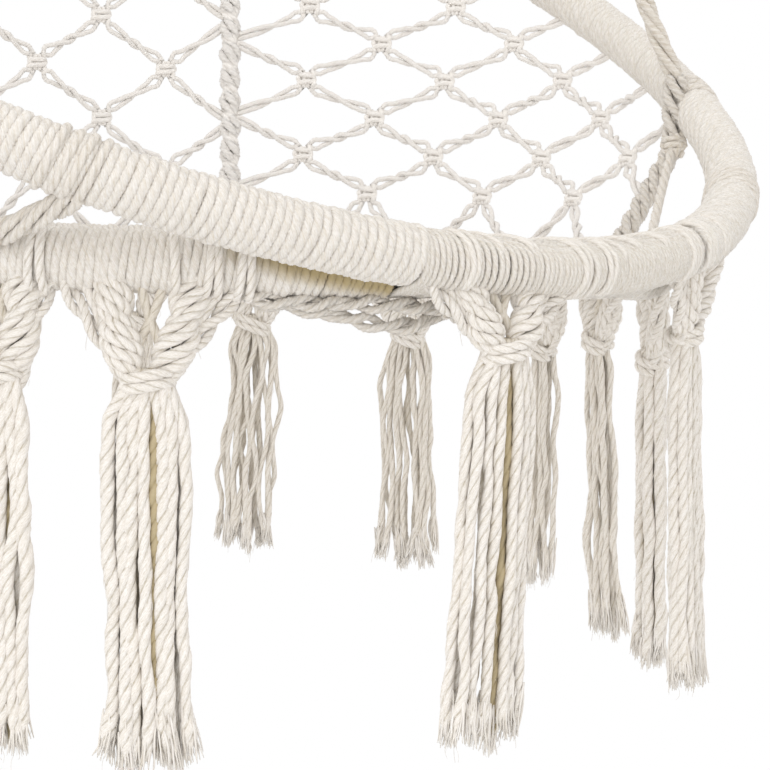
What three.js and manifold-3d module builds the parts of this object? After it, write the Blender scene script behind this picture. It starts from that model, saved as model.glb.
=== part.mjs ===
// Hammock chair: a tilted back hoop and a level seat hoop, wrapped in cotton cord, lashed together
// at the front, filled with knotted nets, fringed with tassels and hung from one steel ring.
// Millimetres, +Z up, the front of the chair towards -Y, the origin where a hook bears on the ring.
import * as THREE from 'three';
import * as BufferGeometryUtils from 'three/addons/utils/BufferGeometryUtils.js';
import Module from 'manifold-3d';

const wasm = await Module();
wasm.setup();

// Driving dimensions of the hoops
const SEAT_HOOP_RADIUS = 300;
const BACK_HOOP_RADIUS = 376;
const BACK_HOOP_TILT = THREE.MathUtils.degToRad(29);
const HOOP_OVERHANG = 25.5; // how far the back hoop's front lies outside the seat hoop
const HOOP_STEP_UP = 2; // how far the back hoop's front lies above the seat hoop
const TUBE_RADIUS = 11;
const TUBE_WALL = 1;
const TUBE_SEAM = 0.5; // the butt joint where a bent tube's ends meet
const WRAP_THICKNESS = 4.7;

// Driving dimensions of the hanging gear
const HANGING_HEIGHT = 985; // from the seat hoop's plane up to the hook
const HANGING_SETBACK = 13; // how far the hook lies behind the seat hoop's centre
const RING_RADIUS = 32;
const RING_WIRE_RADIUS = 4.5;
const RING_WRAP_THICKNESS = 1.8;
const ROPE_RADIUS = 6;
const WHIPPING_HEIGHT = 34;
const WHIPPING_THICKNESS = 3;
const WHIPPING_DROP = 72; // from the ring's lowest wire down to the whipping's middle
const HITCH_CORD_RADIUS = 3.2;
const HITCH_LOOPS = 3;
const HITCH_LOOP_GAP = 1.1; // between two loops of a hitch, on the hoop's centre line

// Driving dimensions of the cord work
const NET_CORD_WIDTH = 6;
const NET_CORD_THICKNESS = 4.4;
const SEAT_NET_MESH = 70;
const SEAT_NET_SAG = 20;
const SIDE_NET_FIRST_ROW = 45;
const SIDE_NET_ROW = 28.6;
const REAR_NET_FIRST_ROW = 57;
const REAR_NET_ROW = 39;
const NET_HEAD_ROOM = 30; // the least height between a knot and the hoop above it
const SINNET_RADIUS = 8;
const DROP_SINNET_RADIUS = 7;
const DROP_STRAND_RADIUS = 3.6;
const DROP_KNOT_RADIUS = 10;
const DROP_KNOT_DEPTH = 41; // from the back hoop's centre line down to the knot
const TIE_CORD_RADIUS = 2.6;
const TIE_LOOPS = 4;
const TIE_BRAID_RADIUS = 6.5;
const LASHING_THICKNESS = 3.8;
const LASHING_WIDTH = 8.5;
const LASHING_LOOPS = 24;
const LASHING_END_ROOM = 3;
const SWAG_RADIUS = 4.5;
const SWAG_DROP = 12;

// Driving dimensions of a tassel
const TASSEL_KNOT_DEPTH = 59;
const TASSEL_KNOT_RADIUS = 15;
const TASSEL_KNOT_HEIGHT = 22;
const TASSEL_LEG_RADIUS = 6.5;
const TASSEL_STRAND_RADIUS = 4.6;
const TASSEL_SKIRT_WIDTH = 38;
const TASSEL_SKIRT_DEPTH = 18;
const TASSEL_LENGTH = 240; // from the seat hoop's plane down
const TASSEL_HEAD_HALF_WIDTH = 45;
const TASSEL_OUT = 9; // how far outside the seat hoop's centre line a tassel hangs
const TASSEL_LEG_OUT = 7;
const TASSEL_LEG_HEIGHT = 8; // how far below the hoop's centre line a leg starts
const FRONT_TASSEL_OUT = 30; // the same for the tassels under the lashed front
const FRONT_KNOT_DEPTH = 43;

// Clearances and overruns
const GAP = 0.3;
const RUNNING_GAP = 0.5; // between the ring's wire and the wrap that slides on it
const END_GAP = 0.4; // between the ends of two pieces that follow each other on a hoop
const OVERRUN = 1;
const MERGE_DISTANCE = 1e-4; // corners nearer than this are one corner

// Facets
const TUBE_SIDES = 8;
const BACK_HOOP_STEPS = 30;
const SEAT_HOOP_STEPS = 24;
const ROPE_SIDES = 8;
const ROPE_STEPS_PER_SPAN = 2;
const WIRE_SIDES = 8;
const RING_STEPS = 24;
const WHIPPING_SIDES = 12;
const LASHING_END_STEPS = 4; // steps round each rounded end of the lashing
const WINDING_SIDES = 6;
const HITCH_STEPS = 8;
const BIGHT_POINTS = 6;
const SWAG_SPANS = 4;
const LEG_SIDES = 4;
const STRAND_SIDES = 4;
const KNOT_SIDES = 6;
const KNOT_FLATNESS_SHARE = 0.72;
const STATION_MARGIN_SHARE = 0.03; // a hoop's corner this near to an end, in steps, is left out
const BEND_SHARE = 5; // the length of a rope's bend below the whipping, in rope radii

// Worked out from the driving dimensions
const WRAP_RADIUS = TUBE_RADIUS + WRAP_THICKNESS + GAP;
const BACK_HOOP_Y = BACK_HOOP_RADIUS * Math.cos(BACK_HOOP_TILT) - SEAT_HOOP_RADIUS - HOOP_OVERHANG;
const BACK_HOOP_Z = BACK_HOOP_RADIUS * Math.sin(BACK_HOOP_TILT) + HOOP_STEP_UP;
const RING_HEIGHT = HANGING_HEIGHT - RING_RADIUS + RING_WIRE_RADIUS;
const BAR_HEIGHT = RING_HEIGHT - RING_RADIUS;
const RING_WRAP_RADIUS = RING_WIRE_RADIUS + RUNNING_GAP + RING_WRAP_THICKNESS;
const LASHING_INNER_RADIUS = TUBE_RADIUS + GAP + LASHING_THICKNESS / 2;
const LASHING_RADIUS = LASHING_INNER_RADIUS / Math.cos(Math.PI / LASHING_END_STEPS / 2);
const LASHING_OUTER_RADIUS = LASHING_RADIUS + LASHING_THICKNESS / 2;
const ROPE_OFFSET = ROPE_RADIUS + GAP;
const ROPE_BEARING = ROPE_OFFSET + ROPE_RADIUS / 2; // from the middle to where a rope bears on the wire
const WIRE_RISE = RING_RADIUS - Math.sqrt(RING_RADIUS ** 2 - ROPE_BEARING ** 2);
const BIGHT_RADIUS = RING_WRAP_RADIUS + WIRE_RISE + RUNNING_GAP + ROPE_RADIUS;

// The radius of the centre line of a cord wound on a wrapped hoop in straight steps
function windRadius(cordRadius) {
  return (WRAP_RADIUS + GAP + cordRadius) / Math.cos(Math.PI / HITCH_STEPS);
}

// Angles round the hoops, from the front, positive towards +X
const RING_WRAP_REACH_DEGREES = 40;
const LASH_END_DEGREES = 20;
const SIDE_HITCH_DEGREES = 66;
const REAR_HITCH_DEGREES = 140;
const REAR_SINNET_DEGREES = 134;
const TIE_HITCH_DEGREES = 40;
const TIE_SEAT_DEGREES = 51;
const DROP_SEAT_DEGREES = 66;
const DROP_STRAND_SEAT_DEGREES = 51;
const SWAG_FROM_DEGREES = -28.5;
const SWAG_TO_DEGREES = -11;

const rad = THREE.MathUtils.degToRad;
const vec = (x, y, z) => new THREE.Vector3(x, y, z);
const mix = (a, b, share) => a.clone().lerp(b, share);

const cotton = new THREE.MeshStandardMaterial({ color: 0xeee9df, roughness: 0.92, metalness: 0 });
const tubeSteel = new THREE.MeshStandardMaterial({ color: 0x8d9095, roughness: 0.5, metalness: 0.8 });
const ringSteel = new THREE.MeshStandardMaterial({ color: 0xb9bcc0, roughness: 0.25, metalness: 1 });

const chair = new THREE.Group();
chair.position.set(0, -HANGING_SETBACK, -HANGING_HEIGHT);

function add(name, geometry, material, parent = chair) {
  const mesh = new THREE.Mesh(outward(geometry), material);
  mesh.name = name;
  parent.add(mesh);
  return mesh;
}

// Geometry helpers

function bare(geometry) {
  const plain = geometry.index ? geometry.toNonIndexed() : geometry.clone();
  for (const name of Object.keys(plain.attributes)) {
    if (name !== 'position') plain.deleteAttribute(name);
  }
  return BufferGeometryUtils.mergeVertices(plain, MERGE_DISTANCE);
}

function signedVolume(geometry) {
  const p = geometry.getAttribute('position');
  const order = geometry.index;
  const [a, b, c] = [vec(0, 0, 0), vec(0, 0, 0), vec(0, 0, 0)];
  let sum = 0;
  for (let i = 0; i < order.count; i += 3) {
    a.fromBufferAttribute(p, order.getX(i));
    b.fromBufferAttribute(p, order.getX(i + 1));
    c.fromBufferAttribute(p, order.getX(i + 2));
    sum += a.dot(b.cross(c)) / 6;
  }
  return sum;
}

function outward(geometry) {
  const plain = bare(geometry);
  if (signedVolume(plain) < 0) {
    const order = plain.index.array;
    for (let i = 0; i < order.length; i += 3) {
      [order[i + 1], order[i + 2]] = [order[i + 2], order[i + 1]];
    }
  }
  plain.computeVertexNormals();
  return plain;
}

function toSolid(geometry) {
  const plain = outward(geometry);
  return new wasm.Manifold(new wasm.Mesh({
    numProp: 3,
    vertProperties: new Float32Array(plain.getAttribute('position').array),
    triVerts: new Uint32Array(plain.index.array),
  }));
}

function toGeometry(solid) {
  const mesh = solid.getMesh();
  const geometry = new THREE.BufferGeometry();
  geometry.setAttribute('position', new THREE.BufferAttribute(new Float32Array(mesh.vertProperties), 3));
  geometry.setIndex(new THREE.BufferAttribute(new Uint32Array(mesh.triVerts), 1));
  return geometry;
}

function joined(geometries) {
  return geometries.map(toSolid).reduce((sum, next) => sum.add(next));
}

function without(solid, rooms) {
  return rooms.reduce((rest, room) => rest.subtract(room), solid);
}

function polygon(radius, sides, shift = 0.5) {
  const shape = new THREE.Shape();
  for (let i = 0; i < sides; i += 1) {
    const turn = (2 * Math.PI * (i + shift)) / sides;
    const [x, y] = [radius * Math.cos(turn), radius * Math.sin(turn)];
    if (i === 0) shape.moveTo(x, y);
    else shape.lineTo(x, y);
  }
  shape.closePath();
  return shape;
}

// A path whose stations fall evenly between its points, so that bends can have more of them
class StationPath extends THREE.CatmullRomCurve3 {
  getPointAt(share, target) {
    return this.getPoint(share, target);
  }
  getTangentAt(share, target) {
    return this.getTangent(share, target);
  }
}

function ropeAlong(points, radius, sides, stepsPerSpan) {
  return new THREE.ExtrudeGeometry(polygon(radius, sides), {
    steps: (points.length - 1) * stepsPerSpan,
    bevelEnabled: false,
    extrudePath: new StationPath(points, false, 'centripetal'),
  });
}

function strut(from, to, radiusFrom, radiusTo, sides) {
  const run = to.clone().sub(from);
  const geometry = new THREE.CylinderGeometry(radiusTo, radiusFrom, run.length(), sides, 1);
  geometry.rotateY(Math.PI / sides);
  geometry.applyQuaternion(new THREE.Quaternion().setFromUnitVectors(vec(0, 1, 0), run.normalize()));
  geometry.translate(...mix(from, to, 0.5).toArray());
  return geometry;
}

// The two hoops. A hoop is a many-sided ring, so a place between two of its corners lies on a
// straight side, a little inside the true circle.

const seatHoop = { radius: SEAT_HOOP_RADIUS, steps: SEAT_HOOP_STEPS, group: new THREE.Group() };
const backHoop = { radius: BACK_HOOP_RADIUS, steps: BACK_HOOP_STEPS, group: new THREE.Group() };
backHoop.group.rotation.x = BACK_HOOP_TILT;
backHoop.group.position.set(0, BACK_HOOP_Y, BACK_HOOP_Z);
for (const hoop of [seatHoop, backHoop]) {
  chair.add(hoop.group);
  hoop.group.updateMatrix();
}

// The angles of the hoop's corners between two ends, with the ends themselves
function hoopStations(hoop, from, to) {
  const step = 360 / hoop.steps;
  const margin = step * STATION_MARGIN_SHARE;
  const stations = [from];
  for (let corner = Math.ceil((from + margin) / step); corner * step < to - margin; corner += 1) {
    stations.push(corner * step);
  }
  return [...stations, to];
}

class HoopArc extends THREE.Curve {
  constructor(hoop, from, to) {
    super();
    this.hoop = hoop;
    this.stations = hoopStations(hoop, from, to);
  }
  stationAt(share) {
    return this.stations[Math.round(share * (this.stations.length - 1))];
  }
  getPoint(share, target = vec(0, 0, 0)) {
    const degrees = this.stationAt(share);
    const reach = this.hoop.radius * sideShare(this.hoop, degrees);
    return target.set(reach * Math.sin(rad(degrees)), -reach * Math.cos(rad(degrees)), 0);
  }
  getPointAt(share, target) {
    return this.getPoint(share, target);
  }
  getTangentAt(share, target = vec(0, 0, 0)) {
    const turn = rad(this.stationAt(share));
    return target.set(Math.cos(turn), Math.sin(turn), 0);
  }
}

function sideShare(hoop, degrees) {
  const step = 360 / hoop.steps;
  const middle = (Math.floor(degrees / step) + 0.5) * step;
  return Math.cos(rad(step / 2)) / Math.cos(rad(degrees - middle));
}

// A point in the chair's frame beside a hoop's centre line: out from the hoop's middle, up its axis
function besideHoop(hoop, degrees, out = 0, up = 0) {
  const turn = rad(degrees);
  const reach = hoop.radius * sideShare(hoop, degrees) + out;
  return vec(reach * Math.sin(turn), -reach * Math.cos(turn), up).applyMatrix4(hoop.group.matrix);
}

function hoopTangent(hoop, degrees) {
  const turn = rad(degrees);
  return vec(Math.cos(turn), Math.sin(turn), 0).transformDirection(hoop.group.matrix);
}

function degreesFor(length, hoop) {
  return THREE.MathUtils.radToDeg(length / hoop.radius);
}

function sectionAlong(hoop, from, to, section) {
  const extrudePath = new HoopArc(hoop, from, to);
  const steps = extrudePath.stations.length - 1;
  return new THREE.ExtrudeGeometry(section, { steps, bevelEnabled: false, extrudePath });
}

function hoopSweep(hoop, from, to, outer, inner) {
  const section = polygon(outer, TUBE_SIDES);
  if (inner) section.holes.push(polygon(inner, TUBE_SIDES));
  return sectionAlong(hoop, from, to, section);
}

function hoopTube(hoop, seamAt) {
  const half = degreesFor(TUBE_SEAM, hoop) / 2;
  return hoopSweep(hoop, seamAt + half, seamAt + 360 - half, TUBE_RADIUS, TUBE_RADIUS - TUBE_WALL);
}

function hoopWrap(hoop, from, to) {
  const half = degreesFor(END_GAP, hoop) / 2;
  return hoopSweep(hoop, from + half, to - half, WRAP_RADIUS, TUBE_RADIUS + GAP);
}

// The room that a wrapped hoop takes, for cutting the ends of what meets it
function hoopRoom(hoop) {
  return joined([[0, 180], [180, 360]].map(([from, to]) => {
    const half = hoopSweep(hoop, from, to, WRAP_RADIUS + GAP);
    return half.applyMatrix4(hoop.group.matrix);
  }));
}

// The same for the lashed front of both hoops
function lashingRoom() {
  const radius = (LASHING_OUTER_RADIUS + GAP) / Math.cos(Math.PI / TUBE_SIDES);
  return joined([[seatHoop, SEAT_LASH_END_DEGREES], [backHoop, LASH_END_DEGREES]].map(([hoop, end]) => (
    hoopSweep(hoop, -end, end, radius).applyMatrix4(hoop.group.matrix))));
}

// The same for a hitch, whose corners lie straight out from the hoop and every step round from there
function hitchRoom(degrees, loops, cordRadius) {
  const halfLength = (loops * HITCH_LOOP_GAP) / 2 + (loops + 1) * cordRadius + GAP;
  const half = degreesFor(halfLength, backHoop);
  const section = polygon(windRadius(cordRadius) + cordRadius + GAP, HITCH_STEPS, 0);
  const room = sectionAlong(backHoop, degrees - half, degrees + half, section);
  return room.applyMatrix4(backHoop.group.matrix);
}

// Where the lashing ends, as an angle round the seat hoop
function seatAngleAt(backDegrees) {
  const point = besideHoop(backHoop, backDegrees);
  return THREE.MathUtils.radToDeg(Math.atan2(point.x, -point.y));
}

const SEAT_LASH_END_DEGREES = seatAngleAt(LASH_END_DEGREES);
const SIDES = [['left', -1], ['right', 1]];
const hoopRooms = [hoopRoom(seatHoop), hoopRoom(backHoop), lashingRoom()];
const ropeHitchDegrees = [SIDE_HITCH_DEGREES, REAR_HITCH_DEGREES];
const ropeHitchRooms = SIDES.map(([, side]) => joined(ropeHitchDegrees.map((degrees) => (
  hitchRoom(side * degrees, HITCH_LOOPS, HITCH_CORD_RADIUS)))));
const tieHitchRooms = SIDES.map(([, side]) => (
  toSolid(hitchRoom(side * TIE_HITCH_DEGREES, TIE_LOOPS, TIE_CORD_RADIUS))));
const cordRooms = [...hoopRooms, ...ropeHitchRooms, ...tieHitchRooms];

function cutAtHoops(geometry) {
  return toGeometry(without(toSolid(geometry), cordRooms));
}

// Windings: one unbroken flat cord wound round a changing outline

function windingGeometry(rows) {
  const positions = [];
  const order = [];
  rows.forEach((row) => row.forEach((point) => positions.push(point.x, point.y, point.z)));
  const sides = rows[0].length;
  const at = (row, side) => row * sides + (side % sides);
  for (let row = 0; row + 1 < rows.length; row += 1) {
    for (let side = 0; side < sides; side += 1) {
      order.push(at(row, side), at(row, side + 1), at(row + 1, side + 1));
      order.push(at(row, side), at(row + 1, side + 1), at(row + 1, side));
    }
  }
  for (let side = 1; side + 1 < sides; side += 1) {
    order.push(at(0, 0), at(0, side + 1), at(0, side));
    const last = rows.length - 1;
    order.push(at(last, 0), at(last, side), at(last, side + 1));
  }
  const geometry = new THREE.BufferGeometry();
  geometry.setAttribute('position', new THREE.Float32BufferAttribute(positions, 3));
  geometry.setIndex(order);
  return geometry;
}

function windingRow(centre, along, out, halfWidth, halfThickness) {
  const row = [];
  for (let side = 0; side < WINDING_SIDES; side += 1) {
    const turn = (2 * Math.PI * side) / WINDING_SIDES;
    row.push(centre.clone()
      .addScaledVector(along, halfWidth * Math.cos(turn))
      .addScaledVector(out, halfThickness * Math.sin(turn)));
  }
  return row;
}

function leastGap(rows, stepsPerLoop) {
  let least = Infinity;
  for (let i = 0; i + stepsPerLoop < rows.length; i += 1) {
    for (const a of rows[i]) {
      for (const b of rows[i + stepsPerLoop]) least = Math.min(least, a.distanceTo(b));
    }
  }
  return least;
}

// The lashing goes round both hoops: over the back hoop's outer side and under the seat hoop's inner
function lashingRows() {
  const stepsPerLoop = 2 * (LASHING_END_STEPS + 1);
  const bend = Math.PI / LASHING_END_STEPS;
  const margin = degreesFor(LASHING_WIDTH / 2 + LASHING_END_ROOM, backHoop);
  const total = LASHING_LOOPS * stepsPerLoop;
  const rows = [];
  for (let i = 0; i <= total; i += 1) {
    const backDegrees = (LASH_END_DEGREES - margin) * ((2 * i) / total - 1);
    const seat = besideHoop(seatHoop, seatAngleAt(backDegrees));
    const back = besideHoop(backHoop, backDegrees);
    const along = hoopTangent(seatHoop, seatAngleAt(backDegrees));
    const across = back.clone().sub(seat).normalize();
    const up = across.clone().cross(along).normalize();
    const step = i % stepsPerLoop;
    const onBack = step <= LASHING_END_STEPS;
    const turn = bend * (onBack ? step : step - 1);
    const out = up.multiplyScalar(Math.cos(turn)).addScaledVector(across, Math.sin(turn));
    const centre = (onBack ? back : seat).clone().addScaledVector(out, LASHING_RADIUS);
    rows.push(windingRow(centre, along, out, LASHING_WIDTH / 2, LASHING_THICKNESS / 2));
  }
  console.log('front_lashing least gap between loops, mm', leastGap(rows, stepsPerLoop).toFixed(2));
  return rows;
}

function hitchRows(hoop, degrees, loops, cordRadius, name) {
  const pitch = 2 * cordRadius + HITCH_LOOP_GAP;
  const radius = windRadius(cordRadius);
  const total = loops * HITCH_STEPS;
  const rows = [];
  for (let i = 0; i <= total; i += 1) {
    const shift = degreesFor(pitch * loops * (i / total - 0.5), hoop);
    const turn = (2 * Math.PI * i) / HITCH_STEPS;
    const place = degrees + shift;
    const centre = besideHoop(hoop, place, radius * Math.cos(turn), radius * Math.sin(turn));
    const out = centre.clone().sub(besideHoop(hoop, place)).normalize();
    rows.push(windingRow(centre, hoopTangent(hoop, place), out, cordRadius, cordRadius));
  }
  console.log(`${name} least gap between loops, mm`, leastGap(rows, HITCH_STEPS).toFixed(2));
  return rows;
}

// Nets: every knot has four cords, and each cord runs to another knot or to an end

function netGeometry(knots) {
  const positions = [];
  const order = [];
  const put = (point) => {
    positions.push(point.x, point.y, point.z);
    return positions.length / 3 - 1;
  };
  const quad = (a, b, c, d) => order.push(a, b, c, a, c, d);
  const corner = (NET_CORD_WIDTH / 2) * Math.SQRT2;
  for (const knot of knots.values()) {
    const arms = knot.arms.map((arm) => (arm.knot ? knots.get(arm.knot).place : arm.end));
    const directions = arms.map((place) => place.clone().sub(knot.place).normalize());
    knot.normal = directions[0].clone().sub(directions[2])
      .cross(directions[1].clone().sub(directions[3])).normalize();
    knot.corners = directions.map((direction, i) => {
      const bisector = direction.clone().add(directions[(i + 1) % 4]).normalize();
      const base = knot.place.clone().addScaledVector(bisector, corner);
      return [1, -1].map((side) => put(base.clone()
        .addScaledVector(knot.normal, (side * NET_CORD_THICKNESS) / 2)));
    });
    const [c0, c1, c2, c3] = knot.corners;
    quad(c0[0], c1[0], c2[0], c3[0]);
    quad(c3[1], c2[1], c1[1], c0[1]);
  }
  for (const [name, knot] of knots) {
    knot.arms.forEach((arm, i) => {
      const nearRight = knot.corners[(i + 3) % 4];
      const nearLeft = knot.corners[i];
      let farRight;
      let farLeft;
      if (arm.knot) {
        if (arm.knot < name) return;
        const other = knots.get(arm.knot);
        const back = other.arms.findIndex((candidate) => candidate.knot === name);
        farRight = other.corners[back];
        farLeft = other.corners[(back + 3) % 4];
      } else {
        const direction = arm.end.clone().sub(knot.place).normalize();
        const left = knot.normal.clone().cross(direction).normalize();
        [farRight, farLeft] = [-1, 1].map((hand) => [1, -1].map((side) => put(arm.end.clone()
          .addScaledVector(left, (hand * NET_CORD_WIDTH) / 2)
          .addScaledVector(knot.normal, (side * NET_CORD_THICKNESS) / 2))));
        quad(farRight[1], farLeft[1], farLeft[0], farRight[0]);
      }
      quad(nearRight[0], farRight[0], farLeft[0], nearLeft[0]);
      quad(nearLeft[1], farLeft[1], farRight[1], nearRight[1]);
      quad(nearRight[1], farRight[1], farRight[0], nearRight[0]);
      quad(nearLeft[0], farLeft[0], farLeft[1], nearLeft[1]);
    });
  }
  const geometry = new THREE.BufferGeometry();
  geometry.setAttribute('position', new THREE.Float32BufferAttribute(positions, 3));
  geometry.setIndex(order);
  return geometry;
}

// Four arms of a lattice knot, in order round it: each step is one column and one row away
const ARM_STEPS = [[1, 1], [-1, 1], [-1, -1], [1, -1]];
const END_REACH_SHARE = 0.86; // how far a cord's end runs towards a hoop's centre line before it is cut

function latticeKnots(places, endFor) {
  const knots = new Map();
  for (const [name, { column, row, place }] of places) {
    const arms = ARM_STEPS.map(([across, up]) => {
      const other = `${column + across},${row + up}`;
      if (places.has(other)) return { knot: other };
      return { end: mix(place, endFor(column + across, row + up, up), END_REACH_SHARE) };
    });
    knots.set(name, { place, arms });
  }
  return knots;
}

// Where a net cord that starts at an angle round the seat hoop meets the back hoop
function backHoopAngle(seatDegrees) {
  const fromFront = Math.abs(seatDegrees);
  const side = Math.sign(seatDegrees);
  if (fromFront > REAR_SINNET_DEGREES) {
    const rearStretch = (180 - REAR_HITCH_DEGREES) / (180 - REAR_SINNET_DEGREES);
    return side * (180 - (180 - fromFront) * rearStretch);
  }
  const sideStretch = (REAR_HITCH_DEGREES - SIDE_HITCH_DEGREES) / (REAR_SINNET_DEGREES - DROP_SEAT_DEGREES);
  return side * (SIDE_HITCH_DEGREES + (fromFront - DROP_SEAT_DEGREES) * sideStretch);
}

function backNetPoint(seatDegrees, height) {
  const low = besideHoop(seatHoop, seatDegrees);
  const high = besideHoop(backHoop, backHoopAngle(seatDegrees));
  return mix(low, high, THREE.MathUtils.clamp(height / high.z, 0, 1));
}

// A panel of the back net between two cords that run from hoop to hoop
function backNetPanel({ columns, angleOf, firstRow, rowHeight, odd }) {
  const places = new Map();
  const heightOf = (row) => firstRow + rowHeight * row;
  for (let column = 1; column < columns; column += 1) {
    const roof = besideHoop(backHoop, backHoopAngle(angleOf(column))).z - NET_HEAD_ROOM;
    for (let row = 0; heightOf(row) < roof; row += 1) {
      if ((column + row) % 2 === odd) {
        const place = backNetPoint(angleOf(column), heightOf(row));
        places.set(`${column},${row}`, { column, row, place });
      }
    }
  }
  const endFor = (column, row, up) => {
    const edge = column <= 0 || column >= columns;
    const over = heightOf(row) > besideHoop(backHoop, backHoopAngle(angleOf(column))).z - NET_HEAD_ROOM;
    if (edge && !over && row >= 0) return backNetPoint(angleOf(column), heightOf(row));
    return up > 0
      ? besideHoop(backHoop, backHoopAngle(angleOf(column)))
      : besideHoop(seatHoop, angleOf(column));
  };
  return netGeometry(latticeKnots(places, endFor));
}

const SIDE_NET_COLUMNS = 8;
const REAR_NET_COLUMNS = 10;
const SIDE_NET_EASE_SHARE = 0.22; // how much wider than the mean the rearmost column is

function sideNetAngle(column) {
  const share = column / SIDE_NET_COLUMNS;
  const eased = share * (1 + SIDE_NET_EASE_SHARE * (1 - share));
  return REAR_SINNET_DEGREES + (DROP_SEAT_DEGREES - REAR_SINNET_DEGREES) * eased;
}

function rearNetAngle(column) {
  return REAR_SINNET_DEGREES + 2 * (180 - REAR_SINNET_DEGREES) * (column / REAR_NET_COLUMNS);
}

function seatNet() {
  const step = SEAT_NET_MESH / Math.SQRT2;
  const inner = SEAT_HOOP_RADIUS - WRAP_RADIUS;
  const drop = (x, y) => -SEAT_NET_SAG * (1 - Math.min(1, (x * x + y * y) / (inner * inner)));
  const places = new Map();
  const most = Math.ceil(inner / step);
  for (let column = -most; column <= most; column += 1) {
    for (let row = -most; row <= most; row += 1) {
      const [x, y] = [column * step, row * step];
      if ((column + row) % 2 === 0 && Math.hypot(x, y) < inner - step / 2) {
        places.set(`${column},${row}`, { column, row, place: vec(x, y, drop(x, y)) });
      }
    }
  }
  const knots = new Map();
  for (const [name, { column, row, place }] of places) {
    const arms = ARM_STEPS.map(([across, up]) => {
      const other = `${column + across},${row + up}`;
      if (places.has(other)) return { knot: other };
      return { end: hoopCrossing(place, across, up) };
    });
    knots.set(name, { place, arms });
  }
  return netGeometry(knots);
}

// Where a cord that leaves a seat knot at 45 degrees reaches the middle of the seat hoop's tube
function hoopCrossing(from, across, up) {
  const direction = vec(across, up, 0).normalize();
  const flat = vec(from.x, from.y, 0);
  const along = flat.dot(direction);
  const reach = SEAT_HOOP_RADIUS - WRAP_RADIUS / 2;
  const run = -along + Math.sqrt(along * along + reach * reach - flat.lengthSq());
  return flat.addScaledVector(direction, run);
}

// Sub-parts

function addHoops() {
  const seatSplit = 360 / 3;
  add('seat_hoop_tube', hoopTube(seatHoop, 0), tubeSteel, seatHoop.group);
  add('back_hoop_tube', hoopTube(backHoop, 0), tubeSteel, backHoop.group);
  for (const [name, hoop, from, to] of [
    ['seat_hoop_wrap_right', seatHoop, SEAT_LASH_END_DEGREES, seatSplit],
    ['seat_hoop_wrap_rear', seatHoop, seatSplit, 360 - seatSplit],
    ['seat_hoop_wrap_left', seatHoop, 360 - seatSplit, 360 - SEAT_LASH_END_DEGREES],
    ['back_hoop_wrap_right', backHoop, LASH_END_DEGREES, REAR_HITCH_DEGREES],
    ['back_hoop_wrap_top', backHoop, REAR_HITCH_DEGREES, 360 - REAR_HITCH_DEGREES],
    ['back_hoop_wrap_left', backHoop, 360 - REAR_HITCH_DEGREES, 360 - LASH_END_DEGREES],
  ]) {
    add(name, hoopWrap(hoop, from, to), cotton, hoop.group);
  }
  add('front_lashing', windingGeometry(lashingRows()), cotton);
}

// The wire of the hanging ring has the ring's own corners, counted from its lowest point
const wire = { radius: RING_RADIUS, steps: RING_STEPS, group: new THREE.Group() };
wire.group.rotation.x = Math.PI / 2;
wire.group.position.set(0, HANGING_SETBACK, RING_HEIGHT);
chair.add(wire.group);
wire.group.updateMatrix();

function addHangingRing() {
  add('hanging_ring', new THREE.TorusGeometry(RING_RADIUS, RING_WIRE_RADIUS, WIRE_SIDES, RING_STEPS),
    ringSteel, wire.group);
  const section = polygon(RING_WRAP_RADIUS, WIRE_SIDES, 0);
  section.holes.push(polygon(RING_WIRE_RADIUS + RUNNING_GAP, WIRE_SIDES, 0));
  const wrap = sectionAlong(wire, -RING_WRAP_REACH_DEGREES, RING_WRAP_REACH_DEGREES, section);
  add('ring_cord_wrap', wrap, cotton, wire.group);
}

// One rope runs from a side hitch up through the whipping, over the ring and down to a rear hitch
function ropePoints(side) {
  const x = side * ROPE_OFFSET;
  const fall = (back, share) => vec(x, HANGING_SETBACK + back * ROPE_OFFSET,
    BAR_HEIGHT - WHIPPING_DROP + WHIPPING_HEIGHT * share);
  const leg = (back, degrees) => {
    const exit = fall(back, -0.5);
    const hitch = besideHoop(backHoop, side * degrees);
    const bend = mix(exit, hitch, (BEND_SHARE * ROPE_RADIUS) / exit.distanceTo(hitch));
    bend.x = (bend.x + exit.x) / 2;
    bend.y = (bend.y + exit.y) / 2;
    return [hitch, mix(hitch, bend, 0.5), bend, exit, fall(back, 0.5)];
  };
  const over = [];
  for (let i = 0; i <= BIGHT_POINTS; i += 1) {
    const turn = (Math.PI * i) / BIGHT_POINTS;
    const y = HANGING_SETBACK - BIGHT_RADIUS * Math.cos(turn);
    over.push(vec(x, y, BAR_HEIGHT + BIGHT_RADIUS * Math.sin(turn)));
  }
  return [...leg(-1, SIDE_HITCH_DEGREES), ...over, ...leg(1, REAR_HITCH_DEGREES).reverse()];
}

function addRopes() {
  for (const [name, side] of SIDES) {
    const rope = ropeAlong(ropePoints(side), ROPE_RADIUS, ROPE_SIDES, ROPE_STEPS_PER_SPAN);
    add(`suspension_rope_${name}`, cutAtHoops(rope), cotton);
  }
  const half = WHIPPING_HEIGHT / 2;
  const inner = (Math.SQRT2 * ROPE_OFFSET + ROPE_RADIUS + GAP) / Math.cos(Math.PI / WHIPPING_SIDES);
  const outer = inner + WHIPPING_THICKNESS;
  const profile = [[inner, -half], [outer, -half], [outer, half], [inner, half], [inner, -half]]
    .map(([x, y]) => new THREE.Vector2(x, y));
  const whipping = new THREE.LatheGeometry(profile, WHIPPING_SIDES);
  whipping.rotateX(Math.PI / 2);
  add('rope_whipping', whipping, cotton).position.set(0, HANGING_SETBACK, BAR_HEIGHT - WHIPPING_DROP);
}

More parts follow.
